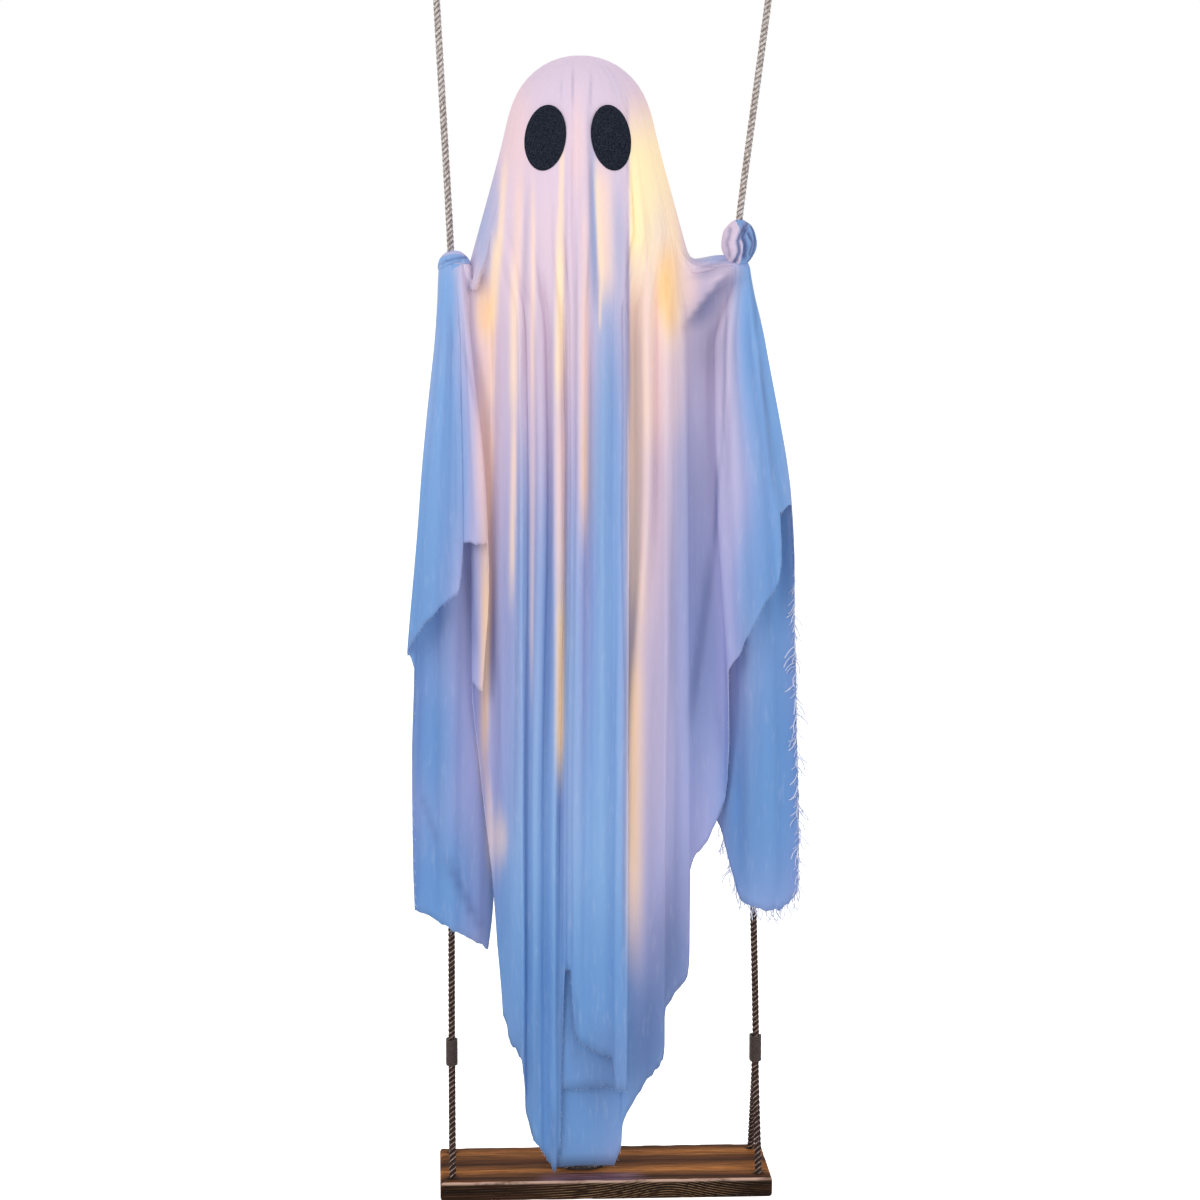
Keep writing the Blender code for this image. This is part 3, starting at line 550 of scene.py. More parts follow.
# Each line: degrees round the head from the front, x and y at the mid height, x and y at the low
# height, height of the hem, pull to an arm's knot, y at the foot. Lengths in mm.
hangingLines = (
    (-62, -147, -30, -138, -30, 243, 0, -16),
    (-53, -130, -66, -129, -62, 215, 0, -30),
    (-44, -115, -94, -114, -84, 189, 0, -48),
    (-38, -104, -82, -108, -72, 110, 0, -44),
    (-31, -90, -104, -96, -92, 75, 0, -54),
    (-25, -78, -92, -84, -78, 55, 0, -46),
    (-18, -66, -110, -70, -96, 29, 0, -54),
    (-12, -57, -92, -63, -80, 60, 0, -46),
    (-9, -51, -99, -56, -89, 317, 0, -40),
    (-5, -45, -105, -49, -97, 317, 0, -44),
    (-1, -37, -111, -41, -102, 221, 0, -46),
    (5, -23, -97, -24, -94, 210, 0, -54),
    (11, -8, -113, -8, -104, 200, 0, -58),
    (16, 6, -99, 7, -96, 197, 0, -58),
    (20, 17, -108, 13, -104, 150, 0, -66),
    (24, 28, -112, 27, -106, 152, 0, -62),
    (27, 16, -96, 4, -82, 150, 0, -46),
    (29, 12, -84, -66, -66, 146, 0, -45),
    (31, 14, -74, -66, -48, 36, 0, -40),
    (34, 34, -74, 12, -48, 36, 0, -39),
    (39, 50, -92, 26, -68, 100, 0, -36),
    (45, 63, -76, 57, -66, 156, 0, -32),
    (51, 77, -86, 78, -72, 185, 0, -32),
    (56, 90, -68, 82, -56, 253, 0, -28),
    (60, 108, -52, 112, -42, 298, 0, -24),
    (63, 114, -28, 113, -20, 432, 0.05, -10),
    (66, 130, -22, 136, -10, 475, 0.35, -5),
    (69, 147, -20, 160, -6, 522, 0.75, -3),
    (72, 157, -24, 166, -14, 560, 1, -10),
    (75, 149, -44, 174, -40, 718, 1, -40),
    (79, 170, -58, 190, -50, 745, 1, -50),
    (83, 192, -47, 206, -44, 785, 1, -44),
    (87, 223, -56, 238, -46, 838, 1, -46),
    (90, 231, -42, 240, -40, 928, 1, -40),
    (93, 247, -30, 252, -28, 938, 1, -28),
    (97, 240, -19, 261, -22, 412, 1, -22),
    (101, 217, -15, 236, -13, 382, 1, -13),
    (105, 196, -21, 206, -23, 385, 1, -23),
    (109, 176, -15, 182, -17, 402, 1, -17),
    (113, 160, 4, 163, 9, 477, 1, 9),
    (118, 140, 32, 140, 34, 550, 0.40, 34),
    (126, 118, 66, 118, 64, 500, 0, 64),
    (135, 92, 92, 92, 90, 460, 0, 90),
    (145, 66, 82, 66, 80, 440, 0, 80),
    (155, 40, 110, 40, 106, 432, 0, 106),
    (166, 14, 96, 14, 92, 420, 0, 92),
    (177, -12, 116, -12, 110, 408, 0, 110),
    (188, -40, 98, -40, 94, 402, 0, 94),
    (198, -66, 112, -66, 108, 410, 0, 108),
    (208, -92, 90, -94, 88, 415, 0, 88),
    (219, -118, 90, -122, 86, 422, 0, 86),
    (230, -140, 62, -140, 60, 430, 0, 60),
    (238, -150, 36, -148, 36, 440, 0.35, 36),
    (244, -158, 10, -158, 10, 328, 1, 10),
    (249, -178, -6, -181, -8, 345, 1, -8),
    (253, -200, -21, -206, -23, 362, 1, -23),
    (257, -222, -15, -233, -14, 378, 1, -14),
    (261, -236, -22, -255, -22, 392, 1, -22),
    (264, -241, -31, -262, -30, 722, 1, -30),
    (268, -245, -42, -277, -42, 750, 1, -42),
    (272, -232, -54, -250, -60, 785, 1, -60),
    (276, -214, -54, -222, -62, 810, 1, -62),
    (280, -196, -50, -194, -58, 828, 1, -58),
    (283, -189, -46, -188, -54, 893, 1, -54),
    (286, -173, -56, -168, -58, 893, 1, -58),
    (289, -158, -47, -150, -48, 888, 1, -48),
    (291, -166, -34, -164, -34, 690, 1, -34),
    (293, -178, -22, -177, -22, 702, 1, -22),
    (295, -168, -10, -166, -6, 560, 0.80, -6),
    (297, -156, -6, -152, 0, 432, 0.35, 0),
)

# Extra pleats on the front: degrees round the head at the eyes' height, degrees from the gathers
# down, half width in degrees, depth in mm, height where the pleat starts and height of its full depth.
pleats = (
    (-75, -46, 1.6, -2.8, 1.36, 1.2), (-68, -40, 1.7, 2.6, 1.36, 1.2), (-63, -33.8, 1.4, -3, 1.37, 1.2),
    (-50, -28, 1.8, 2.8, 1.38, 1.18), (-41, -23.5, 1.2, -2.8, 1.38, 1.2), (-33, -19, 2.2, 2, 1.36, 1.16),
    (-23, -13.9, 1.2, -3, 1.38, 1.2), (-18, -11, 1.5, 2.8, 1.4, 1.2), (-14.6, -8.5, 1.1, -3, 1.44, 1.22),
    (-8.5, -4.6, 1.1, -2.6, 1.525, 1.4), (-5, -2, 1.8, 2.2, 1.52, 1.3), (5.2, 3, 1.2, -3.2, 1.52, 1.36),
    (2.5, 1, 1, 1.8, 1.5, 1.38), (11, 6.8, 1.3, 2.4, 1.38, 1.22), (17, 11, 2.4, -1.8, 1.36, 1.2),
    (25, 16.5, 3, 2.6, 1.36, 1.18), (33, 21.7, 1.2, -2.6, 1.37, 1.2), (37.4, 25, 1.1, -7, 1.5, 1.26),
    (43, 29, 1.5, 4, 1.46, 1.24), (52, 33.5, 1.4, -2.6, 1.42, 1.2), (62, 39.5, 1.8, 2.8, 1.4, 1.2),
    (70, 44.6, 1.4, -2.4, 1.38, 1.2), (76, 53, 2.2, 2.6, 1.36, 1.18), (80, 58, 1.5, -2.6, 1.34, 1.16),
)
# Folds of the sleeves: degrees round the head, half width in degrees, depth in mm, height of the hem end.
sleeveFolds = (
    (77.5, 1.2, -4, 0.7), (81.5, 1.6, 3.5, 0.7), (85.3, 1, -4.5, 0.78), (89, 1.2, 2.5, 0.8),
    (99, 1.1, 2.5, 0.38), (101.5, 0.9, -3.5, 0.38), (104, 1.1, 3, 0.38), (106.5, 0.9, -4, 0.38),
    (110, 1.2, 2.5, 0.4), (247, 1.2, -3.5, 0.33), (251, 1.2, 3, 0.33), (255, 1, -3.5, 0.35),
    (259, 1.2, 3, 0.38), (266, 1, 2.5, 0.7), (270, 1.1, -3, 0.74), (274, 1.2, 3.5, 0.77), (278, 1, -3.5, 0.8),
    (282, 1.1, 2.5, 0.85), (285, 0.9, -3, 0.88), (288, 1, 2.5, 0.88), (292, 0.8, -2.5, 0.68),
)
# Creases drawn on the photo's picture: x and y of both ends, half widths to left and right, depth in mm.
creases = (
    (736, 259, 680, 322, 9, 7, 2.6), (739, 266, 682, 336, 5, 15, -4.5), (734, 253, 690, 265, 12, 12, 1.5),
    (736, 258, 690, 276, 10, 10, -1.8), (752, 256, 757, 345, 4, 4, -2), (757, 345, 776, 515, 4, 4, -2.5),
    (470, 296, 484, 420, 5, 5, -3), (418, 787, 440, 850, 6, 6, -2.5), (440, 850, 484, 938, 8, 6, -3),
    (743, 600, 744, 900, 4, 6, -3), (720, 700, 722, 760, 6, 6, -1.5), (575, 985, 577, 1080, 5, 5, -2),
)

# Eyes: degrees round the head of their middles, height, half sizes and lean.
eyes = {
    "turns": (-28.8, 20.8),
    "height": 1.4225,
    "halfWidth": 0.0258,
    "halfHeight": 0.0425,
    "lean": math.radians(8.6),
    "thickness": 0.0015,
    "edgeLift": 0.0016,
    "backLift": 0.0012,
    "roughness": 0.005,
    "corners": 64,
    "calmMargin": 0.004,           # no pleats or wrinkles on the eyes and this far past them
    "calmSpan": (0.95, 1.35),
}


# Catmull-Rom through the table's rows: share counts rows, name is the column.
def smoothTable(rows, share, name):
    count = len(rows)
    at = int(math.floor(share))
    t = share - at
    p = [rows[(at + k) % count][name] for k in (-1, 0, 1, 2)]
    return 0.5 * (2 * p[1] + (p[2] - p[0]) * t + (2 * p[0] - 5 * p[1] + 4 * p[2] - p[3]) * t ** 2
                  + (3 * (p[1] - p[2]) + p[3] - p[0]) * t ** 3)


def straightTable(rows, share, name, lap=0.0):
    count = len(rows)
    at = int(math.floor(share))
    first = rows[at % count][name]
    second = rows[(at + 1) % count][name] + (lap if at + 1 >= count else 0.0)
    return first + (second - first) * (share - at)


# Where the fine columns lie between the table's rows.
def tableShares():
    shares = []
    for at, line in enumerate(hangingLines):
        pieces = next(pieces for end, pieces in sheet["columns"].items() if line[0] < end)
        shares += [at + k / pieces for k in range(pieces)]
    return shares


def fineLine(share):
    smooth = [smoothTable(hangingLines, share, k) for k in (1, 2, 3, 4, 7)]
    turn = straightTable(hangingLines, share, 0, 360.0)
    hem = straightTable(hangingLines, share, 5)
    pull = straightTable(hangingLines, share, 6)
    return (turn, smooth[0], smooth[1], smooth[2], smooth[3], hem, pull, smooth[4])


def domePoint(turn, fall, outward=0.0):
    radius = sheet["headRadius"] + outward
    return Vector((sheet["headX"] + radius * math.sin(fall) * math.sin(turn),
                   -radius * math.sin(fall) * math.cos(turn), sheet["headHeight"] + radius * math.cos(fall)))


def skirtPoint(turn, z, outward=0.0):
    drop = sheet["headHeight"] - z
    halfX = sheet["headRadius"] + sheet["flareX"] * drop + outward
    halfY = sheet["headRadius"] + sheet["flareY"] * drop + outward
    return Vector((sheet["headX"] + halfX * math.sin(turn), -halfY * math.cos(turn), z))


def headSurface(turn, z, outward=0.0):
    rise = z - sheet["headHeight"]
    if rise >= 0:
        return domePoint(turn, math.acos(min(1.0, rise / (sheet["headRadius"] + outward))), outward)
    return skirtPoint(turn, z, outward)


def hangingKeys(line):
    turn, midX, midY, lowX, lowY, hem, pull, footY = line
    neck = skirtPoint(math.radians(turn), sheet["neck"])
    side = 1 if turn < sheet["sleeveSplit"] else -1
    knot = knots[side]
    centre = sheet["armCentres"][side]
    middle = Vector((knot["x"] + sheet["gatherAside"][side], -rope["besideStrand"] - sheet["gatherForward"], 0))
    mid = Vector((midX * mm, midY * mm, sheet["mid"]))
    low = Vector((lowX * mm, lowY * mm, sheet["low"]))
    foot = Vector((lowX * mm, footY * mm, sheet["foot"]))

    def toward(point, share, z):
        return Vector((point.x + (mid.x - point.x) * share, point.y + (mid.y - point.y) * share, z))

    aside = turn % 360 - sheet["ridges"][side]
    bunchTurn = math.radians(aside * sheet["gatherSpread"])
    bunchSize = sheet["gatherSize"][side]
    bunchDrop = sheet["gatherDrop"][side] * knot["size"][2] + sheet["gatherFall"][side] * abs(aside)
    bunch = Vector((middle.x + side * bunchSize[0] * math.cos(bunchTurn),
                    middle.y + side * bunchSize[1] * math.sin(bunchTurn), knot["z"] - bunchDrop))
    gather = toward(neck, sheet["gatherShare"], sheet["gather"]).lerp(bunch, pull)
    scale = sheet["shoulderScale"][side]
    armShoulder = Vector((middle.x + (midX - centre[0]) * mm * scale[0],
                          middle.y + (midY - centre[1]) * mm * scale[1], sheet["shoulder"]))
    shoulder = toward(neck, sheet["shoulderShare"], sheet["shoulder"]).lerp(armShoulder, pull)
    if turn > sheet["filledTurn"]:
        shoulder.y = min(shoulder.y, sheet["filledY"])
    halfway = (neck + gather) / 2
    webHeight = sheet["webs"][side] - sheet["webFall"][side] * abs(aside)
    halfway.z += (webHeight - halfway.z) * pull
    corner = neck.lerp(skirtPoint(math.radians(turn), webHeight - sheet["webRise"][side]), pull)
    return neck, corner, halfway, gather, (shoulder, mid, low, foot)


def placeAt(keys, z):
    for i in range(len(keys) - 1):
        if z >= keys[i + 1].z or i == len(keys) - 2:
            h = min(max((keys[i].z - z) / (keys[i].z - keys[i + 1].z), 0.0), 1.0)
            before, after = keys[max(i - 1, 0)], keys[min(i + 2, len(keys) - 1)]
            start, end = keys[i], keys[i + 1]
            span = start.z - end.z
            slopeIn = (end - before) / max(before.z - end.z, span)
            slopeOut = (after - start) / max(start.z - after.z, span)
            place = (start * (2 * h**3 - 3 * h**2 + 1) + slopeIn * span * (h**3 - 2 * h**2 + h)
                     + end * (3 * h**2 - 2 * h**3) + slopeOut * span * (h**3 - h**2))
            return Vector((place.x, place.y, z))


def hangingColumn(line, hem):
    turn = math.radians(line[0])
    neck, corner, halfway, gather, keys = hangingKeys(line)
    rows = sheet["rows"]
    column = [domePoint(turn, math.pi / 2 * (k + 1) / rows["dome"]) for k in range(rows["dome"])]
    stops = (column[-1], neck, corner, halfway, gather, keys[0])
    for start, end, part in zip(stops, stops[1:], ("skirt", "corner", "web", "gather", "shoulder")):
        column += [start.lerp(end, (k + 1) / rows[part]) for k in range(rows[part])]
    fall = keys[0].z - hem
    column += [placeAt(keys, keys[0].z - fall * (k + 1) / rows["below"]) for k in range(rows["below"])]
    return column


def eased(value, low, high):
    share = np.clip((value - low) / (high - low), 0.0, 1.0)
    return share * share * (3 - 2 * share)


# Outward unit normals of a grid of columns that closes on itself.
def acrossGrid(grid):
    along = np.roll(grid, -1, 0) - np.roll(grid, 1, 0)
    down = np.gradient(grid, axis=1)
    normal = -np.cross(along, down)
    size = np.linalg.norm(normal, axis=2, keepdims=True)
    return normal / np.maximum(size, 1e-9)


# 0 on the eyes, 1 away from them.
def eyeClearance(turns, heights):
    clear = np.ones_like(heights)
    for middle in eyes["turns"]:
        aside = np.radians(turns - middle) * sheet["headRadius"] / (eyes["halfWidth"] + eyes["calmMargin"])
        above = (heights - eyes["height"]) / (eyes["halfHeight"] + eyes["calmMargin"])
        clear *= eased(np.sqrt(aside ** 2 + above ** 2), *eyes["calmSpan"])
    return clear


def noiseGrid(across, down, seed):
    flat = [noise.noise(Vector((*p, seed))) for p in zip(across.ravel(), down.ravel())]
    return np.array(flat).reshape(across.shape)


# Evens out the crown's edge, and the cloth from the neck to the shoulders.
def smoothFolds(grid):
    rows = sheet["rows"]
    above, below = sheet["crownSpan"]
    spans = [(rows["dome"] - above + k, rows["dome"] + below) for k in range(sheet["headSmoothings"])]
    spans += [(rows["dome"] + rows["skirt"] - 3, sum(rows.values()) - rows["below"] + 6)] * sheet["smoothings"]
    for first, last in spans:
        beside = grid[:, first - 1:last - 1] + grid[:, first + 1:last + 1]
        grid[:, first:last] = (beside + 2 * grid[:, first:last]) / 4


def raggedHem(k, line):
    ragged = noise.noise(Vector((k * 0.21, 3.0, 0.0))) + 0.6 * noise.noise(Vector((k * 0.63, 7.0, 0.0)))
    return max(line[5] * mm + sheet["hemRagged"] * ragged, sheet["lowestHem"])


# The sheet's columns from the crown to the hem, with its pleats and wrinkles.
def sheetGrid():
    lines = [fineLine(share) for share in tableShares()]
    columns = [hangingColumn(line, raggedHem(k, line)) for k, line in enumerate(lines)]
    grid = np.array([[tuple(p) for p in column] for column in columns])
    smoothFolds(grid)
    turnGrid, pullGrid = (np.repeat([[line[k]] for line in lines], grid.shape[1], 1) for k in (0, 6))
    heights = grid[:, :, 2]
    depth = np.zeros_like(heights)
    pleatLow, pleatTop = sheet["pleatSpan"]
    rise = np.clip((heights - pleatLow) / (pleatTop - pleatLow), 0.0, 1.0)
    for topTurn, lowTurn, width, deep, first, full in pleats:
        reach = np.exp(-np.abs((turnGrid - lowTurn - (topTurn - lowTurn) * rise) / width) ** 1.6)
        depth += deep * mm * reach * (1.0 - eased(heights, full, first))
    depth *= eyeClearance(turnGrid, heights) * (1 - pullGrid)
    depth *= 1.0 - sheet["pleatFade"] * (1.0 - eased(heights, *sheet["fadeSpan"]))
    held = pullGrid * (1.0 - eased(heights, *sheet["sleeveFoldTop"]))
    for turn, width, deep, end in sleeveFolds:
        reach = np.exp(-np.abs((turnGrid - turn) / width) ** 1.6)
        depth += deep * mm * reach * held * eased(heights, end, end + 0.05)
    across, down = seenAt(grid + np.array((0.0, 0.0, seatUnderside)))
    for x0, y0, x1, y1, left, right, deep in creases:
        depth += deep * mm * stripePaint(across, down, ((x0, y0, x1, y1, left, right, 1.0),))
    level = sheet["rows"]["dome"] + sheet["runRow"]
    run = np.cumsum(np.linalg.norm(np.diff(grid[:, level], axis=0, append=grid[:1, level]), axis=1))
    runGrid = np.repeat(run[:, None], grid.shape[1], 1)
    calm = eyeClearance(turnGrid, heights) * (1.0 - eased(heights, *sheet["calmSpan"]) * 0.8)
    for size, across, down, seed in sheet["wrinkles"]:
        depth += size * calm * noiseGrid(runGrid * across, heights * down, seed)
    grid = grid + acrossGrid(grid) * depth[:, :, None]
    return grid, turnGrid, runGrid, depth


# Paint on the sheet, placed as seen from the photo's camera on a picture 1200 wide and high.

# Painted light: the glow is emission on the cloth, standing in for the lamps inside shining through it.
# Glowing stripes: x and y at the top, x and y at the bottom, half widths to left and right, strength,
# and how creamy the glow is, from 0 for peach to 1 for pale yellow.
glowStripes = (
    (506, 150, 498, 270, 3, 3.5, 0.62, 0.55), (499, 225, 491, 340, 5.5, 5, 0.86, 0.6),
    (493, 300, 491, 420, 5, 3.5, 0.66, 0.35), (521, 165, 518, 300, 6, 2.5, 0.5, 0.25),
    (515, 245, 514, 430, 4.5, 3.6, 0.76, 0.5), (515.5, 380, 512, 620, 3.4, 2, 0.72, 0.4),
    (533.5, 160, 532.8, 440, 2.2, 2, 0.66, 0.4), (533, 380, 532, 720, 2.2, 1.8, 0.46, 0.25),
    (562.5, 130, 559.5, 250, 2.4, 3, 0.66, 0.55), (559.8, 205, 559, 430, 4, 4.4, 0.92, 0.8),
    (560.5, 380, 560.5, 620, 5, 4.6, 0.64, 0.3), (560.5, 560, 559, 800, 4, 4.2, 0.82, 0.55),
    (584, 190, 585, 340, 4, 3.6, 0.4, 0.05), (584.5, 265, 583.5, 560, 4.2, 4, 0.84, 0.15),
    (598, 148, 604, 312, 3.5, 11.5, 0.74, 0.25), (594.5, 155, 602, 305, 2, 3.5, 0.5, 0.85),
    (600.5, 280, 600, 334, 1.5, 1.5, 0.6, 0.6), (630.5, 96, 631.5, 300, 2, 30, 0.96, 0.9),
    (631.5, 236, 632, 470, 2, 24, 0.86, 0.35), (633, 380, 633, 660, 5, 13, 0.92, 0.3),
    (654, 104, 682, 275, 12, 6, 0.8, 0.55), (633.5, 580, 631, 985, 4.6, 11, 0.9, 0.3),
    (492, 410, 488, 545, 3, 3, 0.62, 0.3), (488, 530, 484, 800, 6, 4, 0.7, 0.3),
    (487, 760, 492, 880, 4, 4, 0.4, 0.3),
)
# Rosy lines inside the glow, and amber stripes.
rosyStripes = (
    (646, 190, 649, 460, 1.3, 1.3, 0.55), (655, 250, 659, 450, 2.4, 2.4, 0.6),
    (640, 320, 641, 600, 1.4, 1.4, 0.4), (560.5, 330, 560, 560, 2, 4, 0.55), (584, 300, 583, 560, 1.5, 4, 0.45),
)
amberStripes = (
    (665, 232, 668, 350, 4, 13, 0.85), (559, 560, 558, 800, 3, 3, 0.5), (584, 400, 583, 560, 3, 3, 0.3),
    (630.5, 620, 629, 900, 3, 8, 0.4), (484, 540, 483, 800, 4, 4, 0.6),
)
# Soft glowing places: x, y, half width, half height, strength, creaminess.
glowPlaces = (
    (652, 172, 16, 46, 0.6, 1), (645, 118, 24, 34, 0.35, 0.1), (516, 130, 16, 54, 0.34, 0),
    (578, 145, 8, 50, 0.34, 0.05), (668, 290, 18, 60, 0.84, 0.45), (484, 312, 10, 34, 0.66, 0.25),
    (484, 350, 8, 30, 0.3, 0), (655, 470, 20, 160, 0.3, 0.1), (535, 300, 58, 170, 0.16, 0),
    (490, 450, 14, 150, 0.16, 0.1), (652, 700, 20, 170, 0.22, 0.1), (500, 838, 8, 26, 0.5, 0.3),
    (698, 256, 14, 3.5, 0.45, 0.7), (485, 440, 9, 90, 0.62, 0.1), (487, 560, 7, 60, 0.4, 0.1),
    (690, 290, 9, 22, 0.35, 0.1), (672, 380, 14, 60, 0.3, 0.1),
)
# Amber places: x, y, half width, half height, strength.
amberPlaces = (
    (665, 286, 10, 36, 0.95), (484, 310, 10, 30, 0.7), (486, 650, 8, 130, 0.6),
)
# Blue places: x, y, half width, half height, strength.
bluePlaces = (
    (608, 470, 17, 160, 0.72), (608, 640, 18, 330, 0.88), (600, 850, 26, 220, 1), (590, 1000, 34, 160, 1),
    (540, 800, 34, 210, 0.84), (545, 980, 45, 170, 1), (555, 1110, 70, 90, 1), (650, 1060, 34, 90, 0.8),
    (676, 975, 16, 50, 0.4), (524, 560, 7, 130, 0.66), (546, 600, 10, 120, 0.6), (572, 640, 9, 170, 0.66),
    (446, 300, 13, 66, 1), (444, 420, 22, 150, 1), (425, 520, 30, 120, 1), (415, 610, 34, 90, 0.95),
    (432, 740, 26, 90, 0.95), (436, 890, 44, 90, 1), (463, 470, 7, 90, 0.55), (752, 320, 18, 130, 1),
    (772, 400, 26, 160, 1), (774, 560, 26, 110, 1), (748, 590, 14, 70, 0.6), (775, 770, 36, 180, 1),
    (742, 820, 24, 100, 0.95), (712, 257, 26, 7, 0.7), (700, 700, 18, 120, 0.25), (483, 225, 10, 62, 0.6),
    (512, 960, 24, 130, 1), (619, 1010, 13, 120, 0.85), (594, 230, 4, 80, 0.62), (618, 235, 8, 60, 0.3),
    (690, 480, 22, 140, 0.2), (495, 200, 6, 44, 0.4),
)
# Darker places in the depth of the folds: x, y, half width, half height, strength.
shadePlaces = (
    (600, 1075, 24, 50, 0.34), (700, 420, 22, 150, 0.12), (450, 640, 26, 40, 0.16), (664, 965, 24, 66, 0.42),
    (650, 1045, 20, 62, 0.5), (708, 330, 20, 52, 0.34), (700, 640, 14, 120, 0.2), (520, 1080, 14, 60, 0.26),
    (474, 300, 5, 26, 0.2), (678, 930, 20, 90, 0.36),
)
# Darker strokes: both ends, half widths to left and right, strength.
shadeStripes = (
    (572.5, 66, 572, 108, 1, 2, 0.26), (592, 70, 590, 112, 2, 1, 0.24), (562, 76, 561, 104, 1.4, 1.2, 0.14),
    (627.5, 88, 628, 190, 2, 1, 0.26), (589, 102, 592, 230, 3.6, 3.6, 0.3), (592, 200, 600, 330, 5, 3.4, 0.28),
    (628, 170, 628, 620, 3, 1, 0.4), (627.6, 560, 624, 1010, 3, 1.2, 0.42), (620, 170, 620, 460, 8, 5, 0.12),
    (527, 165, 521.5, 420, 2, 3.6, 0.26), (519.5, 380, 514, 900, 1.4, 2.4, 0.32),
    (538, 170, 537, 700, 1, 3, 0.14), (566, 150, 566, 800, 1.2, 2.4, 0.3),
    (553.5, 170, 553.5, 800, 2.4, 1, 0.22), (577, 190, 578, 540, 2.4, 1, 0.2),
    (590, 330, 588, 560, 1.4, 2.4, 0.24), (728, 272, 722, 480, 2, 1.6, 0.4),
    (719, 450, 714, 560, 2.6, 2.2, 0.5), (715, 530, 688, 740, 6, 5, 0.44), (735, 264, 678, 334, 3, 22, 0.56),
    (735, 262, 688, 282, 8, 12, 0.36), (738, 256, 690, 272, 5, 8, 0.3), (664, 430, 676, 760, 4, 6, 0.18),
    (752, 258, 757, 345, 1.6, 1.6, 0.24), (757, 340, 777, 515, 1.8, 2.4, 0.36),
    (736, 290, 724, 520, 2, 5, 0.14), (474, 262, 465, 300, 1.6, 1.6, 0.5), (460, 330, 482, 440, 1.6, 2.4, 0.2),
    (455.5, 400, 455.5, 545, 1.6, 1.4, 0.22), (466, 545, 478, 665, 6, 4, 0.32),
    (462, 540, 490, 546, 14, 6, 0.26), (418, 787, 440, 850, 3, 4, 0.26), (440, 846, 485, 940, 4, 5, 0.36),
    (743, 560, 744, 900, 2, 5, 0.2), (577, 985, 577, 1075, 3, 2, 0.26), (537, 960, 536, 1150, 2, 1.6, 0.26),
    (562, 975, 560, 1150, 2.5, 3.5, 0.24), (500, 640, 497, 900, 3, 2, 0.18), (404, 630, 420, 660, 8, 8, 0.24),
    (553, 1100, 556, 1176, 3, 3, 0.26), (676, 700, 674, 980, 2, 5, 0.22),
)


# Where points of the frame fall on the photo's picture.
def seenAt(grid):
    away = studio["distance"]
    turn, aim, dip = studio["turn"], studio["aimTurn"], studio["lookDown"]
    x = grid[..., 0] + away * math.sin(turn)
    y = grid[..., 1] + away * math.cos(turn)
    z = grid[..., 2] - studio["cameraHeight"]
    right = x * math.cos(aim) - y * math.sin(aim)
    ahead = x * math.sin(aim) + y * math.cos(aim)
    depth = ahead * math.cos(dip) - z * math.sin(dip)
    up = ahead * math.sin(dip) + z * math.cos(dip)
    focal, middle = studio["focalPixels"], studio["imagePixels"] / 2
    return middle + focal * right / depth, middle - focal * up / depth


def placeReach(across, down, place):
    x, y, halfX, halfY, strength = place[:5]
    return strength * np.exp(-(((across - x) / halfX) ** 2 + ((down - y) / halfY) ** 2) ** 1.5)


def stripeReach(across, down, stripe):
    x0, y0, x1, y1, wideLeft, wideRight, strength = stripe[:7]
    share = (down - y0) / (y1 - y0)
    ends = eased(share, -0.04, 0.30) * (1 - eased(share, 0.70, 1.04))
    aside = across - x0 - (x1 - x0) * np.clip(share, 0.0, 1.0)
    reach = np.abs(aside) / np.where(aside < 0, wideLeft, wideRight)
    return strength * ends * np.exp(-reach ** 2.6)


# Strokes laid over each other, none of them doubled.
def laid(reaches, across):
    left = np.ones_like(across)
    for reach in reaches:
        left *= 1 - reach
    return 1 - left


def softPlaces(across, down, places):
    return laid((placeReach(across, down, place) for place in places), across)


def stripePaint(across, down, stripes):
    return laid((stripeReach(across, down, stripe) for stripe in stripes), across)


# How much the sheet glows, and how creamy and how amber the glow is.
def glowPaint(across, down):
    reaches = [(stripeReach(across, down, stripe), stripe[7]) for stripe in glowStripes]
    reaches += [(placeReach(across, down, place), place[5]) for place in glowPlaces]
    total = sum(reach for reach, creamy in reaches) + 1e-6
    cream = sum(reach * creamy for reach, creamy in reaches) / total
    cream *= 1 - stripePaint(across, down, rosyStripes)
    amber = np.maximum(stripePaint(across, down, amberStripes), softPlaces(across, down, amberPlaces))
    return laid((reach for reach, creamy in reaches), across), cream, amber


# Glow, blue and shade for every point of the sheet.
def sheetPaint(grid, turnGrid, runGrid, depth):
    across, down = seenAt(grid)
    lap = np.mod(turnGrid, 360.0)
    starts, full, leaves, ends = sheet["backTurns"]
    back = eased(lap, starts, full) * (1 - eased(lap, leaves, ends))
    heights = grid[:, :, 2] - seatUnderside
    streak = noiseGrid(runGrid * 26.0, heights * 0.8, 21.0)
    backGlow = eased(streak, 0.05, 0.55) * 0.6 * eased(heights, 0.45, 0.70)
    backBlue = eased(noiseGrid(runGrid * 7.0, heights * 2.2, 33.0), -0.25, 0.35) * 0.8
    backBlue = np.maximum(backBlue * (1 - eased(heights, 1.15, 1.35)), 1 - eased(heights, 0.45, 0.62))
    glow, cream, amber = glowPaint(across, down)
    mottle = noiseGrid(runGrid * 12.0, heights * 3.0, 15.0)
    blue = np.clip(softPlaces(across, down, bluePlaces) + 0.10 * mottle, 0, 1)
    shade = 1 - (1 - softPlaces(across, down, shadePlaces)) * (1 - stripePaint(across, down, shadeStripes))
    hollow = np.clip(-depth / sheet["hollowDepth"], 0, 1) * sheet["hollowShade"]
    shade = 1 - (1 - shade * (1 - back)) * (1 - hollow)
    return {"glow": glow * (1 - back) + backGlow * back, "blue": blue * (1 - back) + backBlue * back,
            "shade": shade, "cream": cream * (1 - back) + 0.5 * back, "amber": amber * (1 - back)}


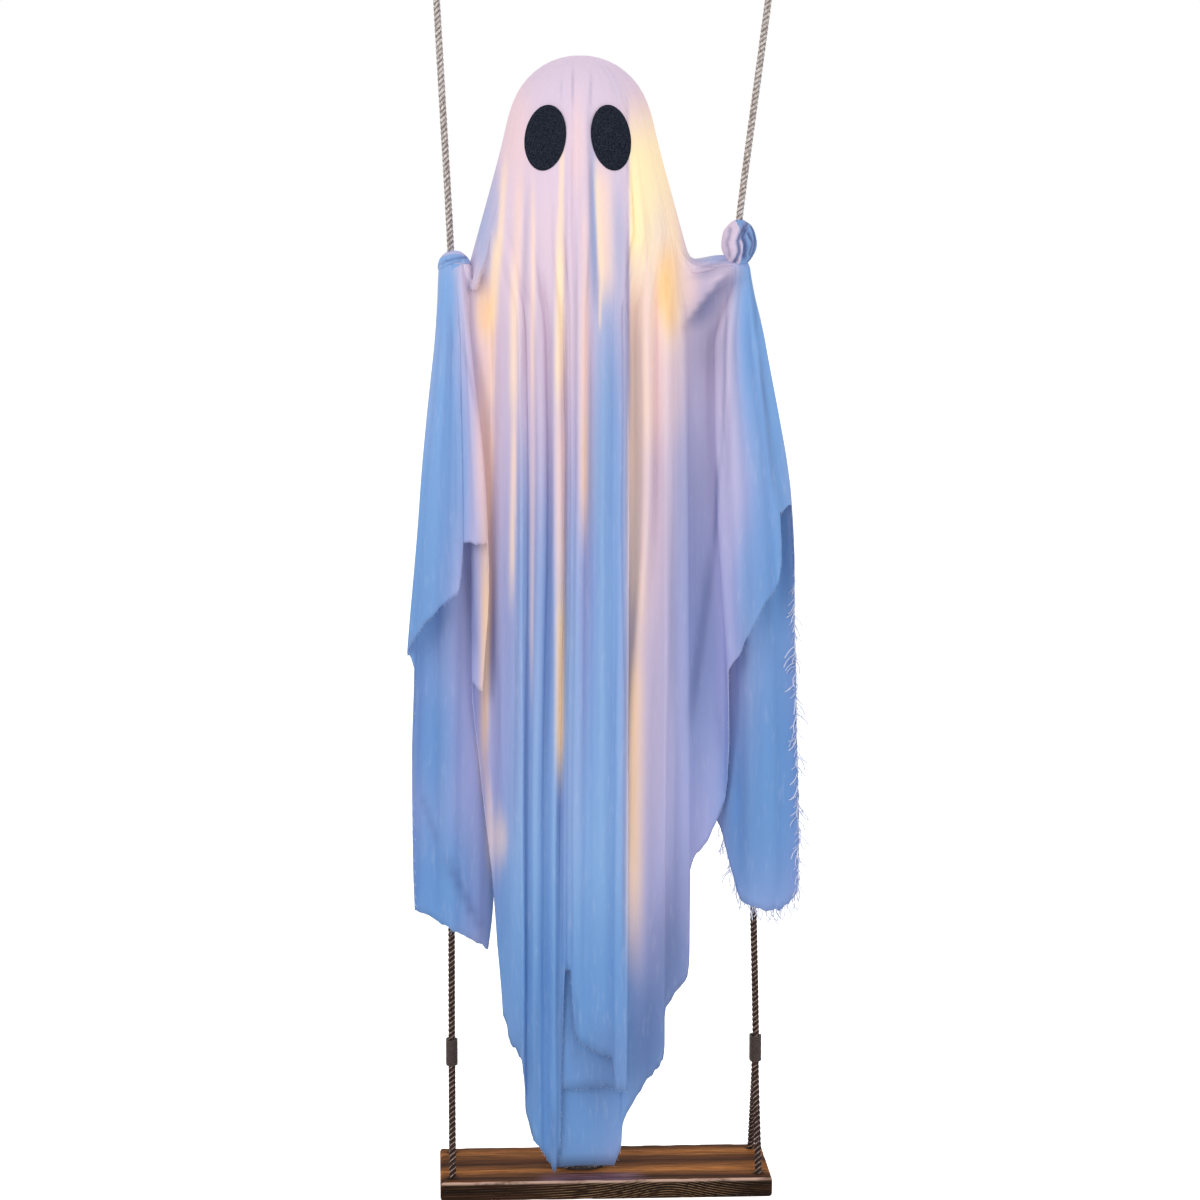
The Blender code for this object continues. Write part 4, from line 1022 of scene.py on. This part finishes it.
def sheetFinish():
    cloth = Finish("drapedCloth", roughness=0.9)
    cloth.put("Specular IOR Level", 0.2)
    z = cloth.axes()[2]
    glow, blue, shade = cloth.number("glow"), cloth.number("blue"), cloth.number("shade")
    rosy = cloth.mix(tint(158, 162, 206), tint(212, 193, 212), z.between(-1.05, -0.40))
    deepBlue = cloth.mix(tint(100, 142, 195), tint(120, 159, 210), z.between(-1.15, -0.60))
    centred = 1.0 - (cloth.axes()[0] + 0.030).absolute().between(0.08, 0.15)
    deepBlue = cloth.mix(deepBlue, tint(126, 162, 208), centred * z.between(-1.50, -1.25))
    tone = cloth.mix(rosy, deepBlue, blue)
    tone = cloth.mix(tone, tint(82, 96, 140), shade)
    warm = cloth.mix(tint(240, 200, 188), tint(246, 228, 176), cloth.number("cream"))
    warm = cloth.mix(warm, tint(244, 196, 122), cloth.number("amber"))
    # Painted light: the cloth's emission, faint all over and full where it glows, stands in for the lamps inside
    # shining through the cloth, and the base colour takes the glow's warm colour too.
    lit = cloth.mix(cloth.dimmed(tone, 0.32), warm, glow)
    tone = cloth.mix(tone, cloth.dimmed(warm, 0.84), glow)
    run, fall = cloth.number("run"), cloth.number("fall")
    weft = (run * 900.0).part()
    warp = (fall * 900.0).part()
    thread = ((weft - 0.5).absolute() + (warp - 0.5).absolute())
    slub = cloth.speckle(60.0, 4.0, cloth.stretched((3.0, 3.0, 0.5)))
    tone = cloth.mix(tone, tint(235, 232, 240), (slub - 0.55).clamped() * 0.4)
    cloth.put("Base Color", tone)
    cloth.put("Emission Color", lit)
    cloth.put("Emission Strength", 0.34)
    cloth.bump(thread * 0.4 + slub, 0.35, 0.0005)
    return cloth.material


def storeNumbers(mesh, name, values):
    made = mesh.attributes.new(name, "FLOAT", "POINT")
    made.data.foreach_set("value", np.asarray(values, dtype=np.float32))


def makeSheet():
    grid, turnGrid, runGrid, depth = sheetGrid()
    grid[:, :, 2] += seatUnderside
    paint = sheetPaint(grid, turnGrid, runGrid, depth)
    columns, rows = grid.shape[:2]
    crown = (sheet["headX"], 0.0, sheet["headHeight"] + sheet["headRadius"] + seatUnderside)
    points = [tuple(p) for p in grid.reshape(-1, 3)] + [crown]
    faces = []
    for c in range(columns):
        here, there = c * rows, ((c + 1) % columns) * rows
        faces.append((len(points) - 1, here, there))
        faces += [(here + r, here + r + 1, there + r + 1, there + r) for r in range(rows - 1)]
    mesh = bpy.data.meshes.new("draped_sheet")
    mesh.from_pydata(points, [], faces)
    for name, values in paint.items():
        storeNumbers(mesh, name, [*values.ravel(), values[:, 0].mean()])
    storeNumbers(mesh, "run", [*runGrid.ravel(), 0.0])
    storeNumbers(mesh, "fall", [*(-grid[:, :, 2]).ravel(), 0.0])
    mesh.shade_smooth()
    material = sheetFinish()
    cloth = addPiece("draped_sheet", mesh, material, "ghost_sheet")
    wall = cloth.modifiers.new("cloth", "SOLIDIFY")
    wall.thickness = sheet["cloth"]
    wall.offset = 0.0
    areas = np.linalg.norm(np.cross(np.roll(grid, -1, 0)[:, :-1] - grid[:, :-1], np.diff(grid, axis=1)), axis=2)
    print("sheet", columns, "by", rows, "area", round(float(areas.sum()), 3))
    return cloth, grid, material


clothPiece, clothGrid, clothMaterial = makeSheet()


# Knots

knotLook = {
    "around": 120,
    "rings": 60,
    "lip": 0.035,
    "lumps": 0.035,
}

# Creases on the knots as seen from the front. Each is a depth, a half width and its points, all in
# half widths and half heights of the knot from its middle.
knotCreases = {
    1: ((0.13, 0.10, ((0.50, 0.92), (0.10, 0.60), (-0.16, 0.10), (-0.08, -0.45), (-0.32, -0.95))),
        (0.17, 0.13, ((0.30, 0.62), (0.10, 0.26), (0.30, -0.16), (0.20, -0.62))),
        (0.10, 0.08, ((0.66, 0.74), (0.88, 0.16), (0.76, -0.46), (0.46, -0.88))),
        (0.09, 0.07, ((0.44, 0.42), (0.66, 0.00), (0.54, -0.50))),
        (0.05, 0.10, ((-0.56, 0.60), (-0.76, 0.00), (-0.58, -0.60)))),
    -1: ((0.07, 0.09, ((-0.96, -0.10), (-0.55, 0.34), (0.00, 0.50), (0.44, 0.56), (0.86, 0.60))),
         (0.04, 0.10, ((-0.70, -0.30), (-0.20, 0.16), (0.36, 0.36)))),
}


def creaseDistance(u, w, points):
    near = 9.0
    for (ax, az), (bx, bz) in zip(points, points[1:]):
        runX, runZ = bx - ax, bz - az
        share = max(0.0, min(1.0, ((u - ax) * runX + (w - az) * runZ) / (runX ** 2 + runZ ** 2)))
        near = min(near, math.hypot(u - ax - share * runX, w - az - share * runZ))
    return near


# Point on a knot of rolled cloth, how deep in a crease it lies, and where it is across.
def knotPoint(side, fall, turn):
    knot = knots[side]
    u, v, w = math.sin(fall) * math.cos(turn), -math.cos(fall), math.sin(fall) * math.sin(turn)
    waver = Vector((u * 2.2, v * 2.2, w * 2.2 + 3.0 * side))
    bentU = u + 0.05 * noise.noise(waver * 1.7)
    bentW = w + 0.05 * noise.noise(waver * 1.7 + Vector((7.0, 0.0, 0.0)))
    deep, lip, hollow = 0.0, 0.0, 0.0
    for depth, width, points in knotCreases[side]:
        far = creaseDistance(bentU, bentW, points) / width
        deep += depth * math.exp(-far ** 2)
        lip += knotLook["lip"] * math.exp(-(far - 2.2) ** 2)
        hollow = max(hollow, min(1.0, depth / 0.09) * math.exp(-far ** 2))
    facing = max(0.0, -v) ** 0.6
    reach = 1.0 + (lip - deep) * facing + knotLook["lumps"] * noise.noise(waver)
    size = knot["size"]
    point = (knot["x"] + sheet["gatherAside"][side] + size[0] * reach * u,
             -rope["besideStrand"] - sheet["knotForward"] + size[1] * reach * v,
             knot["z"] + knotRise[side] + size[2] * reach * w + seatUnderside)
    return point, hollow, (u, w)


# Blue and shade of a knot's point.
def knotTone(side, hollow, u, w):
    if side > 0:
        split = creaseDistance(u, w, knotCreases[1][0][2]) * (1 if u > 0.1 - 0.25 * w * w - 0.1 * w else -1)
        blue = min(max(0.5 + 2.6 * split, 0.12), 0.95)
        return blue, min(0.95, 0.85 * hollow + 0.34 * max(0.0, blue - 0.4))
    blue = min(max(0.95 - 1.1 * max(0.0, u - 0.1) * max(0.0, 0.6 - w), 0.15), 1.0)
    # Painted highlight: a paler, less blue band along the left knot's top rim.
    highlightRim = math.exp(-((w - 0.88 + 0.35 * u * u) / 0.10) ** 2)
    return blue * (1 - 0.6 * highlightRim), 0.75 * hollow


def makeKnot(side):
    rings, around = knotLook["rings"], knotLook["around"]
    points, shade, blue = [], [], []
    for k in range(rings + 1):
        for m in range(around):
            point, hollow, (u, w) = knotPoint(side, math.pi * k / rings, 2 * math.pi * m / around)
            tone = knotTone(side, hollow, u, w)
            points.append(point)
            blue.append(tone[0])
            shade.append(tone[1])
    faces = [(k + m, k + (m + 1) % around, k + around + (m + 1) % around, k + around + m)
             for k in range(0, rings * around, around) for m in range(around)]
    mesh = bpy.data.meshes.new(f"{knots[side]['name']}_knot")
    mesh.from_pydata(points, [], faces)
    storeNumbers(mesh, "shade", shade)
    storeNumbers(mesh, "blue", blue)
    for name in ("glow", "cream", "amber"):
        storeNumbers(mesh, name, [0.0] * len(points))
    storeNumbers(mesh, "run", [p[0] for p in points])
    storeNumbers(mesh, "fall", [-p[2] for p in points])
    work = bmesh.new()
    work.from_mesh(mesh)
    bmesh.ops.remove_doubles(work, verts=work.verts, dist=0.00005)
    bmesh.ops.recalc_face_normals(work, faces=work.faces)
    work.to_mesh(mesh)
    work.free()
    mesh.shade_smooth()
    return addPiece(mesh.name, mesh, clothMaterial)


knotPieces = [makeKnot(side) for side in (-1, 1)]
print("knots tied")


# Frayed threads on the hem

fray = {
    "spacing": 0.0023,
    "length": 0.0085,
    "thickness": 0.00034,
    "seed": 11,
    "scaleSpan": (0.25, 1.15),
    "leanSpan": (0.75, 0.75, 3.1),
    "amounts": ((94, 114, 2.4), (244, 262, 0.7), (-360, 360, 0.42)),      # from turn, to turn, amount
}


def threadFinish():
    thread = Finish("frayedThread", roughness=0.9)
    tone = thread.mix(tint(196, 206, 236), tint(236, 236, 246), thread.speckle(300.0, 1.0))
    thread.put("Base Color", tone)
    return thread.material


# How frayed the hem is: most on the right sleeve's back layer, least on the body.
def frayAmount(turn):
    return next(amount for low, high, amount in fray["amounts"] if low <= turn % 360 <= high)


def makeFray(material):
    lines = [fineLine(share) for share in tableShares()]
    hem = [tuple(p) for p in clothGrid[:, -1]]
    mesh = lineMesh("hemLine", [hem + hem[:1]])
    storeNumbers(mesh, "fray", [frayAmount(line[0]) for line in lines] + [frayAmount(lines[0][0])])
    sizes = {"Spacing": fray["spacing"], "Length": fray["length"], "Thickness": fray["thickness"]}
    g = Grower("frayedHem", sizes)
    spacing, length = g.size("Spacing"), g.size("Length")
    path = g.evenRoute(spacing)
    dots = g.node("GeometryNodeCurveToPoints", {"mode": "EVALUATED"}, {"Curve": path})
    down = g.node("ShaderNodeCombineXYZ", {}, {"Z": g.maths("MULTIPLY", length, -1.0)})
    bend = g.node("ShaderNodeCombineXYZ", {}, {"X": g.maths("MULTIPLY", length, 0.28),
                                               "Z": g.maths("MULTIPLY", length, -0.5)})
    strand = g.node("GeometryNodeCurveQuadraticBezier", {}, {"Resolution": 3, "Start": (0.0, 0.0, 0.0),
                                                             "Middle": bend, "End": down})
    strand = g.tube(strand, g.circle(3, g.size("Thickness")), False)
    turn = g.node("FunctionNodeRandomValue", {"data_type": "FLOAT_VECTOR"},
                  {0: [-lean for lean in fray["leanSpan"]], 1: fray["leanSpan"], "Seed": fray["seed"]})
    short, long = fray["scaleSpan"]
    long = g.node("FunctionNodeRandomValue", {}, {2: short, 3: long, "Seed": fray["seed"] + 1}, 1)
    amount = g.node("GeometryNodeInputNamedAttribute", {}, {"Name": "fray"})
    scale = g.maths("MULTIPLY", long, amount)
    threads = g.node("GeometryNodeInstanceOnPoints", {}, {"Points": dots, "Instance": strand, "Rotation": turn,
                                                         "Scale": scale})
    g.finish(threads, material)
    threads = settle(g.grow("hem_fray", mesh))
    print("fray", len(threads.data.polygons))
    return threads


frayPiece = makeFray(threadFinish())


# Bindings

binding = {
    "twineRadius": 0.00135,
    "pitch": 0.00255,
    "halfX": 0.0068,
    "halfY": 0.0121,
    "corners": 22,
    "lead": 0.0012,
    "endRoom": 0.002,
    "waver": 0.0003,
}


def twineFinish():
    twine = Finish("darkTwine", roughness=0.7)
    along = twine.speckle(260.0, 3.0)
    twine.put("Base Color", twine.mix((0.014, 0.008, 0.008), (0.075, 0.044, 0.036), along))
    twine.bump(twine.speckle(900.0, 2.0), 0.5, 0.0003)
    return twine.material


# A coil of twine round two strands.
def wrapRoute(x, low):
    turns = int((rope["sleeveLength"] - binding["endRoom"]) / binding["pitch"])
    straight = binding["halfY"] - binding["halfX"]
    points = []
    for k in range(turns * binding["corners"] + 1):
        t = 2 * math.pi * k / binding["corners"]
        waver = binding["waver"] * noise.noise(Vector((k * 0.12, x * 40, 0.0)))
        reach = binding["halfX"] + waver
        points.append(Vector((x + reach * math.cos(t),
                              reach * math.sin(t) + straight * max(-1.0, min(1.0, 3.0 * math.sin(t))),
                              low + binding["lead"] + k * binding["pitch"] / binding["corners"])))
    return points


def makeBindings():
    material = twineFinish()
    heights = {"upper": -rope["sleeveTopDrop"] - rope["sleeveLength"],
               "lower": rope["lowerSleeve"] + seatUnderside}
    for end, low in heights.items():
        for side in (-1, 1):
            x = side * (rope["ringSpread"] if end == "upper" else rope["holeX"])
            name = f"{knots[side]['name']}_{end}"
            g = Grower("wrappedTwine", {"Radius": binding["twineRadius"]})
            g.finish(g.tube(g.route(), g.circle(8, g.size("Radius"))), material)
            wrap = g.grow(f"{name}_twine", lineMesh("wrap", [wrapRoute(x, low)]))
            wrap.data.shade_smooth()
            settle(wrap, f"{name}_binding")
    print("bindings wrapped")


makeBindings()


# Hanging rings

ring = {
    "radius": 0.022,
    "bar": 0.003,
    "weldTurn": math.radians(189),
    "weldWidth": 0.06,
    "weldSwell": 0.10,
    "steps": 72,
    "sides": 16,
}


def steelFinish(name, tone, rough):
    steel = Finish(name, roughness=rough, metallic=1.0)
    smear = steel.speckle(38.0, 4.0)
    fine = steel.speckle(700.0, 2.0)
    steel.put("Base Color", steel.mix(tuple(0.78 * c for c in tone), tone, smear))
    steel.put("Roughness", smear * 0.18 + fine * 0.10 + (rough - 0.14))
    steel.bump(fine, 0.25, 0.0001)
    return steel.material


def makeRings():
    material = steelFinish("zincRing", (0.64, 0.64, 0.62), 0.36)
    for side in (-1, 1):
        work = bmesh.new()
        loops = []
        for k in range(ring["steps"]):
            t = 2 * math.pi * k / ring["steps"]
            past = math.remainder(t - ring["weldTurn"], 2 * math.pi)
            weld = 1.0 + ring["weldSwell"] * math.exp(-(past / ring["weldWidth"]) ** 2)
            loop = []
            for m in range(ring["sides"]):
                a = 2 * math.pi * m / ring["sides"]
                reach = ring["radius"] + ring["bar"] * weld * math.cos(a)
                point = (side * rope["ringSpread"] + reach * math.sin(t), ring["bar"] * weld * math.sin(a),
                         ring["radius"] - reach * math.cos(t))
                loop.append(work.verts.new(point))
            loops.append(loop)
        for a, b in zip(loops, loops[1:] + loops[:1]):
            for m in range(len(a)):
                after = (m + 1) % len(a)
                work.faces.new((a[m], a[after], b[after], b[m]))
        bmesh.ops.recalc_face_normals(work, faces=work.faces)
        name = knots[side]["name"]
        addPiece(f"{name}_steel_ring", meshFrom(work, f"{name}_steel_ring"), material,
                 f"{name}_hang_ring", "hangers")
    print("rings made")


makeRings()


# Eyes

def eyeFinish():
    felt = Finish("blackFelt", roughness=0.95)
    felt.put("Specular IOR Level", 0.06)
    fuzz = felt.speckle(620.0, 4.0, rough=0.7)
    felt.put("Base Color", felt.mix(tint(12, 16, 22), tint(52, 58, 74), fuzz.between(0.34, 0.74)))
    felt.bump(fuzz, 0.4, 0.0005)
    return felt.material


# Point on the head, across and up from the eye's middle as seen from the front.
def eyePlace(side, across, up, lift):
    middle = headSurface(math.radians(eyes["turns"][(side + 1) // 2]), eyes["height"])
    z = eyes["height"] + up
    rise = z - sheet["headHeight"]
    radius = sheet["headRadius"]
    wide = math.sqrt(radius ** 2 - rise ** 2) if rise > 0 else radius - sheet["flareX"] * rise
    turn = math.asin((middle.x + across - sheet["headX"]) / wide)
    return lifted(headSurface(turn, z, lift))


def makeEyes():
    material = eyeFinish()
    for side, name in ((-1, "left"), (1, "right")):
        lean = side * eyes["lean"]
        work = bmesh.new()
        loops = []
        shares = [k / 14 for k in range(15)]
        thick = eyes["thickness"]
        shells = [(share, eyes["edgeLift"] + thick * math.sqrt(1 - share ** 12)) for share in shares]
        for share, lift in shells + [(1.0, eyes["backLift"]), (0.0, eyes["backLift"])]:
            loop = []
            for m in range(eyes["corners"] if share else 1):
                t = 2 * math.pi * m / eyes["corners"]
                rough = 1.0 + eyes["roughness"] * noise.noise(Vector((math.cos(t) * 6, math.sin(t) * 6, side)))
                across = eyes["halfWidth"] * share * rough * math.cos(t)
                up = eyes["halfHeight"] * share * rough * math.sin(t)
                turned = across * math.cos(lean) - up * math.sin(lean)
                risen = across * math.sin(lean) + up * math.cos(lean)
                loop.append(work.verts.new(eyePlace(side, turned, risen, lift)))
            loops.append(loop)
        for a, b in zip(loops, loops[1:]):
            for m in range(eyes["corners"]):
                corners = [a[m % len(a)], a[(m + 1) % len(a)], b[(m + 1) % len(b)], b[m % len(b)]]
                corners = list(dict.fromkeys(corners))
                if len(corners) > 2:
                    work.faces.new(corners)
        bmesh.ops.recalc_face_normals(work, faces=work.faces)
        addPiece(f"{name}_felt_eye", meshFrom(work, f"{name}_felt_eye"), material, f"{name}_eye")
    print("eyes made")


makeEyes()


# Seat

seat = {
    "half": (0.225, 0.0805, 0.0135),
    "round": 0.0050,
    "cells": (110, 40, 9),
    "dent": 0.0011,
    "groove": 0.0005,
    "holes": ((-0.208, -0.058), (-0.208, 0.058), (0.208, -0.058), (0.208, 0.058)),
}


def seatFinish():
    wood = Finish("stainedPlank", roughness=0.85)
    wood.put("Specular IOR Level", 0.08)
    x, y, z = wood.axes()
    waver = wood.speckle(3.0, 2.0, wood.stretched((1.0, 6.0, 6.0)))
    grain = wood.speckle(30.0, 6.0, wood.stretched((0.16, 4.0, 4.0)), 0.72)
    fine = wood.speckle(170.0, 4.0, wood.stretched((0.10, 3.0, 3.0)), 0.7)
    band = (y * 82.7 + waver * 1.7 - 3.1).sine() * 0.5 + 0.5
    hollow = wood.mix(tint(34, 19, 11), tint(92, 52, 26), grain.between(0.35, 0.65))
    ridge = wood.mix(tint(106, 58, 26), tint(204, 134, 72), fine.between(0.34, 0.66))
    top = wood.mix(hollow, ridge, (band ** 1.4 * (grain.between(0.32, 0.62) * 0.75 + 0.25)).clamped())
    aside = (x - 0.082) / 0.070
    arch = 1.0 - (aside * aside + 1.0) ** -1.0
    rings = (((z + 1.776) / 0.0034 + arch * 7.5 + waver * 1.5).part() - 0.5).absolute() * 2.0
    middle = 1.0 - ((x - 0.045) * 7.0).absolute().between(0.55, 1.15)
    streak = (rings.between(0.78, 1.0) * (middle * 0.80 + 0.20) * fine.between(0.34, 0.58)).clamped()
    flame = wood.mix(tint(22, 13, 9), tint(48, 29, 18), grain.between(0.38, 0.66))
    flame = wood.mix(flame, tint(186, 150, 112), streak)
    face = 1.0 - y.between(-0.0800, -0.0770)
    tone = wood.mix(top, flame, face)
    shadowed = (1.0 - ((x + 0.020) * 12.0).absolute().between(0.55, 1.0)) * (1.0 - y.between(-0.062, -0.034))
    tone = wood.mix(tone, wood.mix(tint(84, 62, 92), tint(158, 124, 144), fine.between(0.35, 0.65)),
                    shadowed * (1.0 - face) * fine.between(0.30, 0.62) * 0.6)
    # Pale band along the front top edge: partly real wear, partly a painted highlight.
    highlightRim = (1.0 - ((y + 0.0785) * 400.0).absolute().between(0.35, 1.0)) * z.between(-1.7480, -1.7446)
    worn = wood.speckle(36.0, 5.0, wood.stretched((0.5, 1.0, 1.0)), 0.7)
    tone = wood.mix(tone, tint(204, 168, 150), highlightRim * worn.between(0.30, 0.56) * 0.9)
    # Painted shade: a dark ring in and round each rope hole.
    for holeX, holeY in seat["holes"]:
        far = ((x - holeX) ** 2.0 + (y - holeY) ** 2.0) ** 0.5
        tone = wood.mix(tone, tint(20, 12, 9), (1.0 - far.between(0.0055, 0.0105)) * 0.8)
    wood.put("Base Color", tone)
    wood.put("Roughness", 0.92 - fine * 0.2)
    wood.bump(grain * 0.7 + fine * 0.6 + rings * face * 0.25, 0.6, 0.0009)
    return wood.material


# Where line k of count lies on a face: the lines crowd toward the face's edges.
def crowded(half, k, count):
    share = 2 * k / count - 1
    return half * (0.35 * share + 0.65 * math.sin(math.pi / 2 * share))


def makeSeat():
    half, bevel = seat["half"], seat["round"]
    inner = [h - bevel for h in half]
    work = bmesh.new()
    for axis in range(3):
        first, second = [k for k in range(3) if k != axis]
        for sign in (-1, 1):
            counts = (seat["cells"][first], seat["cells"][second])
            rows = []
            for i in range(counts[0] + 1):
                row = []
                for j in range(counts[1] + 1):
                    p = [0.0, 0.0, 0.0]
                    p[axis] = sign * half[axis]
                    p[first] = crowded(half[first], i, counts[0])
                    p[second] = crowded(half[second], j, counts[1])
                    row.append(work.verts.new(p))
                rows.append(row)
            for i in range(counts[0]):
                for j in range(counts[1]):
                    work.faces.new((rows[i][j], rows[i + 1][j], rows[i + 1][j + 1], rows[i][j + 1]))
    bmesh.ops.remove_doubles(work, verts=work.verts, dist=0.0002)
    for vert in work.verts:
        core = Vector([max(-inner[k], min(inner[k], vert.co[k])) for k in range(3)])
        out = vert.co - core
        push = out.normalized() if out.length > 0 else Vector((0.0, 0.0, 1.0))
        edge = sum(abs(vert.co[k]) > inner[k] + 0.0001 for k in range(3)) >= 2
        place = core + push * bevel
        dent = noise.noise(Vector((place.x * 34, place.y * 60, place.z * 60)))
        rough = noise.noise(Vector((place.x * 5, place.y * 190, place.z * 190)))
        worn = seat["dent"] * max(0.0, dent) * (1.6 if edge else 0.2) + seat["groove"] * max(0.0, rough)
        place -= push * worn
        vert.co = place + Vector((0.0, 0.0, half[2] + seatUnderside))
    bmesh.ops.recalc_face_normals(work, faces=work.faces)
    addPiece("worn_plank", meshFrom(work, "worn_plank"), seatFinish(), "seat_board")
    print("seat made")


makeSeat()


# Light inside the cloth, post and head

def plainWood():
    wood = Finish("planedDowel", roughness=0.6)
    grain = wood.speckle(26.0, 5.0, wood.stretched((5.0, 5.0, 0.12)), 0.6)
    wood.put("Base Color", wood.mix(tint(176, 138, 92), tint(222, 190, 142), grain))
    wood.bump(grain, 0.4, 0.0004)
    return wood.material


def foamFinish():
    foam = Finish("beadFoam", roughness=0.8)
    cell = foam.node("ShaderNodeTexVoronoi", {}, {"Vector": foam.place(), "Scale": 260.0}, "Distance")
    foam.put("Base Color", foam.mix(tint(244, 244, 242), tint(216, 216, 212), cell.between(0.3, 0.7)))
    foam.bump(1.0 - cell, 0.6, 0.0008)
    return foam.material


def plasticFinish(name, tone, rough):
    plastic = Finish(name, roughness=rough)
    grain = plastic.speckle(900.0, 2.0)
    plastic.put("Base Color", plastic.mix(tuple(0.93 * c for c in tone), tone, plastic.speckle(16.0, 3.0)))
    plastic.put("Roughness", grain * 0.15 + (rough - 0.07))
    plastic.bump(grain, 0.2, 0.0001)
    return plastic.material


def beadFinish():
    bead = Finish("warmBead", roughness=0.2, coat=0.4)
    core = bead.speckle(240.0, 2.0)
    bead.put("Base Color", bead.mix(tint(255, 214, 140), tint(255, 244, 214), core))
    bead.put("Emission Color", bead.mix(tint(255, 200, 110), tint(255, 236, 190), core))
    bead.put("Emission Strength", 2.2)
    return bead.material


def makeBeads():
    material = beadFinish()
    for number in range(1, 7):
        low, high = (Vector(corner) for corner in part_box(f"light_bead_{number}"))
        middle, half = (low + high) / 2, (high - low) / 2
        work = bmesh.new()
        bmesh.ops.create_uvsphere(work, u_segments=24, v_segments=16, radius=1.0)
        for vert in work.verts:
            swell = 1.0 - 0.12 * vert.co.z
            x, y, z = vert.co
            vert.co = middle + Vector((x * half.x * swell, y * half.y * swell, z * half.z))
        addPiece(f"resin_drop_{number}", meshFrom(work, f"resin_drop_{number}"), material,
                 f"light_bead_{number}")
    print("beads made")


makeBeads()


# Materials for the CAD nodes whose shape stays.
def dressNodes():
    blackened = steelFinish("blackenedSteel", (0.10, 0.085, 0.080), 0.5)
    screws = steelFinish("screwSteel", (0.60, 0.60, 0.58), 0.38)
    case = plasticFinish("caseShell", tint(228, 228, 224), 0.45)
    jacket = plasticFinish("cellJacket", tint(52, 54, 58), 0.35)
    knob = plasticFinish("switchKnob", tint(30, 30, 32), 0.4)
    wire = plasticFinish("copperLacquer", tint(190, 124, 72), 0.3)
    dress = {"post_flange": blackened, "support_post": plainWood(), "head_ball": foamFinish(),
             "battery_case": case, "battery_cover": case, "cover_screw": screws, "switch_slider": knob,
             "light_wire": wire}
    dress.update({f"flange_screw_{k}": screws for k in range(1, 5)})
    dress.update({f"cell_{k}": jacket for k in range(1, 4)})
    for name, material in dress.items():
        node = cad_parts[name]
        for held in node.material_slots:
            held.link = "OBJECT"
            held.material = material
    print("nodes dressed")


dressNodes()
